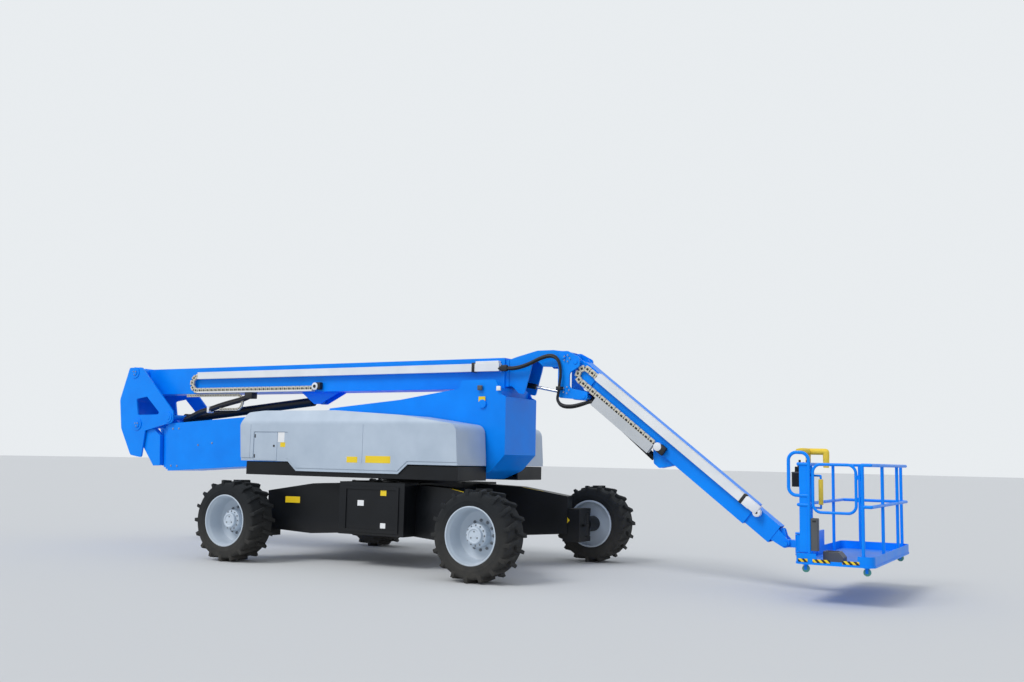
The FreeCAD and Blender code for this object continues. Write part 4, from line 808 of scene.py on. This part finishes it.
def caster_form():
    """A small wheel, turned about the Y axis."""
    section = [(0.004, -0.017), (0.034, -0.017), (0.041, -0.012), (0.042, 0), (0.041, 0.012), (0.034, 0.017),
               (0.004, 0.017)]
    wheel = spun([(radius, along, 0) for radius, along in section], steps=32)
    bpy.ops.object.shade_smooth_by_angle(angle=math.radians(40))
    return wheel


def fork_form(x, y):
    """Two cheeks under a top plate, over a caster."""
    parts = []
    for low, high in (((-0.016, -0.027, 0.372), (0.016, -0.021, 0.430)),
                      ((-0.016, 0.021, 0.372), (0.016, 0.027, 0.430)),
                      ((-0.030, -0.030, 0.426), (0.030, 0.030, 0.4405))):
        parts.append(boxed("fork_part", (x + low[0], y + low[1], low[2]), (x + high[0], y + high[1], high[2]),
                           blue_enamel, "platform", 0.002))
    return welded(*parts)


CASTER_HEIGHT = 0.385
caster = caster_form()
for index, (x, y) in enumerate(((5.70, -1.10), (6.36, -1.10), (5.70, 1.10), (6.36, 1.10))):
    copied(caster, Matrix.Translation((x, y, CASTER_HEIGHT)))
    done(f"caster_{index + 1}", caster_green, "platform")
    fork_form(x, y).name = f"caster_fork_{index + 1}"
bpy.data.objects.remove(caster)


def lever(name, x, y, high, thick, knob=black_abs):
    """A small lever with its boot and knob, on the console's top."""
    z = 1.508
    boot = round_bar((x, y, z), (x, y, z + high * 0.35), thick * 2.0, 20)
    bevelled(thick * 0.7)
    stem = round_bar((x, y, z + high * 0.2), (x, y, z + high * 0.75), thick * 0.55, 12)
    head = round_bar((x, y, z + high * 0.66), (x, y, z + high), thick, 16)
    bevelled(thick * 0.4, 3)
    welded(boot, stem, head)
    return done(name, knob, "platform")


for index, (y, high) in enumerate(((-0.90, 0.085), (-0.72, 0.060), (-0.55, 0.085))):
    lever(f"console_lever_{index + 1}", 5.592, y, high, 0.013)
lever("console_stop", 5.605, -0.640, 0.030, 0.018, red_lens)
boxed("console_lip", (5.524, -1.013, 1.440), (5.629, -0.355, 1.452), grey_abs, "platform",
      0.003)

# A padded grab bar on the rear rail's post, with its stay going into the post at both ends
rear_post = (5.646, -0.598)
grab = (5.806, -0.800)
corner = (5.800, -0.780)
bent_pipe([(*rear_post, 1.415), (*corner, 1.415), (*grab, 1.412), (*grab, 1.380), (*grab, 1.080),
           (*grab, 1.048), (*corner, 1.045), (*rear_post, 1.045)], 0.012)
done("pad_stay", blue_enamel, "platform")
round_bar((*grab, 1.085), (*grab, 1.375), 0.026, 24)
bevelled(0.006)
done("post_pad", yellow_foam, "platform")
boxed("case_latch", (5.800, -1.2115, 0.905), (5.840, -1.2065, 0.925), black_abs, "platform",
      0.001)


# CAD forms dressed: the same pieces with their sharp edges rounded

# Pieces of long flat faces, on which only faces that lie nearly in one plane are shaded as one
STRAIGHT = ("secondary_outer", "riser", "primary_outer", "jib_outer", "jib_inner", "turntable_deck",
            "chassis_frame")
# Material, then each node with how far its edges are rounded
DRESSED = (
    (blue_enamel, (("elbow", 0.006), ("riser", 0.004), ("gooseneck", 0.004), ("jib_link", 0.005),
                   ("secondary_outer", 0.007), ("secondary_tip", 0.004), ("primary_outer", 0.007),
                   ("jib_outer", 0.006), ("jib_inner", 0.004), ("platform_mount", 0.004),
                   ("platform_bracket", 0.004))),
    (chassis_black, (("chassis_frame", 0.007), ("turntable_deck", 0.006), ("control_console", 0.006))),
    (trough_white, (("primary_trough", 0.002), ("jib_trough", 0.002))),
    # The jib's tray in the troughs' white, darkened as painted shade
    (shaded_tray_white, (("jib_tray", 0.002),)),
    (grey_abs, (("papers_case", 0.004), ("foot_switch", 0.004))),
    (hood_gelcoat, (("hood_near", 0.010), ("hood_far", 0.010))),
)
for material, pieces in DRESSED:
    for name, width in pieces:
        dressed(name, width, material, 6 if name in STRAIGHT else 30)

# The tray with its low front lip, over which the links show: floor, lip, back and end
tray_tail, tray_nose = -4.73, -2.21
tray_front, tray_back = -0.290, -0.2103
tray_low, tray_top, lip_top = 2.5345, 2.606, 2.560
wall = 0.006
welded(
    block((tray_tail, tray_front, 2.534), (tray_nose, tray_back, 2.540)),
    block((tray_tail, tray_front, tray_low), (tray_nose, -0.285, lip_top)),
    block((tray_tail, tray_back - wall, tray_low), (tray_nose, tray_back, tray_top)),
    block((tray_nose - wall, tray_front, tray_low), (tray_nose, tray_back, tray_top)),
)
bevelled(0.0015, 1)
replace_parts(done("primary_tray_lipped", trough_white, "primary_outer"), "primary_tray")


# Bolts, pins and sensors

def bolts(name, spots, body, radius=0.012, height=0.014):
    """Hexagon heads that stand out of a near side, at (x, y, z) spots."""
    form = bolt_form(radius, height)
    made = [copied(form, Matrix.Translation(spot)) for spot in spots]
    bpy.data.objects.remove(form)
    welded(*made)
    return done(name, zinc_plate, body)


def round_the(spot, radius, count, first=0.0):
    """Spots in a ring in the XZ plane about a spot."""
    x, y, z = spot
    angles = [first + 2 * math.pi * index / count for index in range(count)]
    return [(x + radius * math.cos(angle), y, z + radius * math.sin(angle)) for angle in angles]


elbow_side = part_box("elbow")[0][1]
for name, (x, z) in (("upper", (-6.06, 2.90)), ("lower", (-5.94, 2.00))):
    ring = round_the((x, elbow_side + 0.001, z), 0.034, 3, 0.5)
    bolts(f"elbow_pin_bolts_{name}", ring, "elbow", 0.009, 0.012)
secondary_side = -0.3995
bolts("secondary_bolts", [(x, secondary_side, z) for x, z in (
    (-4.513, 1.657), (-4.196, 1.694), (-5.12, 1.925), (-5.12, 1.300), (-4.98, 1.930), (-4.98, 1.300))],
      "secondary_outer")
link_side = -0.2475
upper_pin = round_the((2.255, link_side, 2.93), 0.045, 5)
lower_pin = round_the((2.250, link_side, 2.49), 0.045, 5)
bolts("link_bolts", upper_pin + lower_pin, "jib_link", 0.008, 0.010)
riser_side = -0.470
boxed("riser_sensor_grey", (0.975, riser_side - 0.030, 2.490), (1.050, riser_side, 2.560), grey_abs,
      "turntable", 0.006)
label((0.985, riser_side - 0.0012, 2.330), (1.095, riser_side + 0.001, 2.402), warning_yellow, "turntable",
      "riser_label")
boxed("riser_sensor_white", (1.285, riser_side - 0.028, 2.480), (1.350, riser_side, 2.545), white_film,
      "turntable", 0.006)


def on_beam(fore, side):
    """The frame of one of the four beams: along it from the centre box, across it and up."""
    turn = math.atan2(0.29 * side, 1.43 * fore)
    return Matrix.Translation((SLEW_X + 0.5 * fore, 0.8 * side, 0)) @ Matrix.Rotation(turn, 4, "Z")


# The upper face of a beam, which slopes down to its end
slope = Matrix.Translation((0.7295, 0, 1.120)) @ Matrix.Rotation(math.radians(9.34), 4, "Y")
for corner, side in (("near", -1), ("far", 1)):
    label((0.02, -0.146, -0.0005), (0.36, -0.116, 0.0015), warning_yellow, "chassis", "beam_strip_" + corner,
          on_beam(1, side) @ slope)
label((0.93, 0.149, 0.830), (1.17, 0.1513, 0.920), warning_yellow, "chassis", "beam_label", on_beam(-1, -1))

# The pointed mark on the far beam's end box, and the platform's tread
mark_side = 0.9585
cut_out([(1.668, mark_side, 0.740), (1.668, mark_side, 0.560), (1.745, mark_side, 0.650)], (0, 0.002, 0))
done("beam_end_arrow", warning_yellow, "chassis")
block((5.625, -1.185, 0.4622), (6.440, 1.185, 0.4645))
bevelled(0.0008, 1)
done("floor_tread", tread_plate, "platform")


# Floor, light and camera

def studio():
    """A pale floor under an even sky, which looks brighter than it lights, and a soft sun."""
    bpy.ops.object.select_all(action="DESELECT")
    bpy.ops.mesh.primitive_plane_add(size=400, location=(0, 0, 0))
    floor = bpy.context.object
    floor.name = "floor"
    material = bpy.data.materials.new("floor_pale")
    material.use_nodes = True
    tree = material.node_tree
    shader = tree.nodes["Principled BSDF"]
    shader.inputs["Base Color"].default_value = linear("#c9cbcc")
    shader.inputs["Roughness"].default_value = 0.9
    paint(floor, material)
    world = bpy.data.worlds.new("studio")
    bpy.context.scene.world = world
    world.use_nodes = True
    tree = world.node_tree
    tree.nodes.clear()
    path = add_node(tree, "ShaderNodeLightPath")
    seen = add_node(tree, "ShaderNodeMath", {"operation": "MAXIMUM"},
                    _0=path.outputs["Is Camera Ray"], _1=path.outputs["Is Glossy Ray"])
    seen = add_node(tree, "ShaderNodeMath", {"operation": "MAXIMUM"},
                    _0=seen.outputs["Value"], _1=path.outputs["Is Transmission Ray"])
    sky = add_node(tree, "ShaderNodeBackground", Color=linear("#eef2f5"), Strength=0.95)
    lamp = add_node(tree, "ShaderNodeBackground", Color=linear("#f4f8ff"), Strength=0.72)
    both = add_node(tree, "ShaderNodeMixShader", _0=seen.outputs["Value"])
    tree.links.new(lamp.outputs["Background"], both.inputs[1])
    tree.links.new(sky.outputs["Background"], both.inputs[2])
    out = add_node(tree, "ShaderNodeOutputWorld")
    tree.links.new(both.outputs["Shader"], out.inputs["Surface"])
    sun_data = bpy.data.lights.new("key", "SUN")
    sun_data.energy = 1.5
    sun_data.angle = math.radians(25)
    sun = bpy.data.objects.new("key", sun_data)
    bpy.context.collection.objects.link(sun)
    sun.rotation_euler = Vector((0.25, 0.62, -0.75)).to_track_quat("-Z", "Y").to_euler()


# The camera fitted to the photograph: its place in metres, its turns in degrees, and its lens
CAMERA_PLACE = (8.574, -13.025, 1.535)
YAW, PITCH, ROLL = 29.37, 6.49, 1.19
LENS_PX, PHOTO_WIDE_PX = 1036, 1024
SENSOR_MM = 36


def camera():
    """Stands where the photograph was taken from, with its lens."""
    yaw, pitch, roll = (math.radians(angle) for angle in (YAW, PITCH, ROLL))
    forward = Vector((-math.sin(yaw) * math.cos(pitch), math.cos(yaw) * math.cos(pitch), math.sin(pitch)))
    right = Vector((math.cos(yaw), math.sin(yaw), 0))
    up = right.cross(forward)
    right, up = (
        math.cos(roll) * right + math.sin(roll) * up,
        -math.sin(roll) * right + math.cos(roll) * up,
    )
    data = bpy.data.cameras.new("camera")
    data.sensor_width = SENSOR_MM
    data.lens = LENS_PX / PHOTO_WIDE_PX * SENSOR_MM
    data.clip_end = 500
    thing = bpy.data.objects.new("camera", data)
    bpy.context.collection.objects.link(thing)
    turn = Matrix((right, up, -forward)).transposed()
    thing.matrix_world = Matrix.Translation(CAMERA_PLACE) @ turn.to_4x4()
    bpy.context.scene.camera = thing


studio()
camera()

bpy.context.scene.view_settings.view_transform = "Standard"
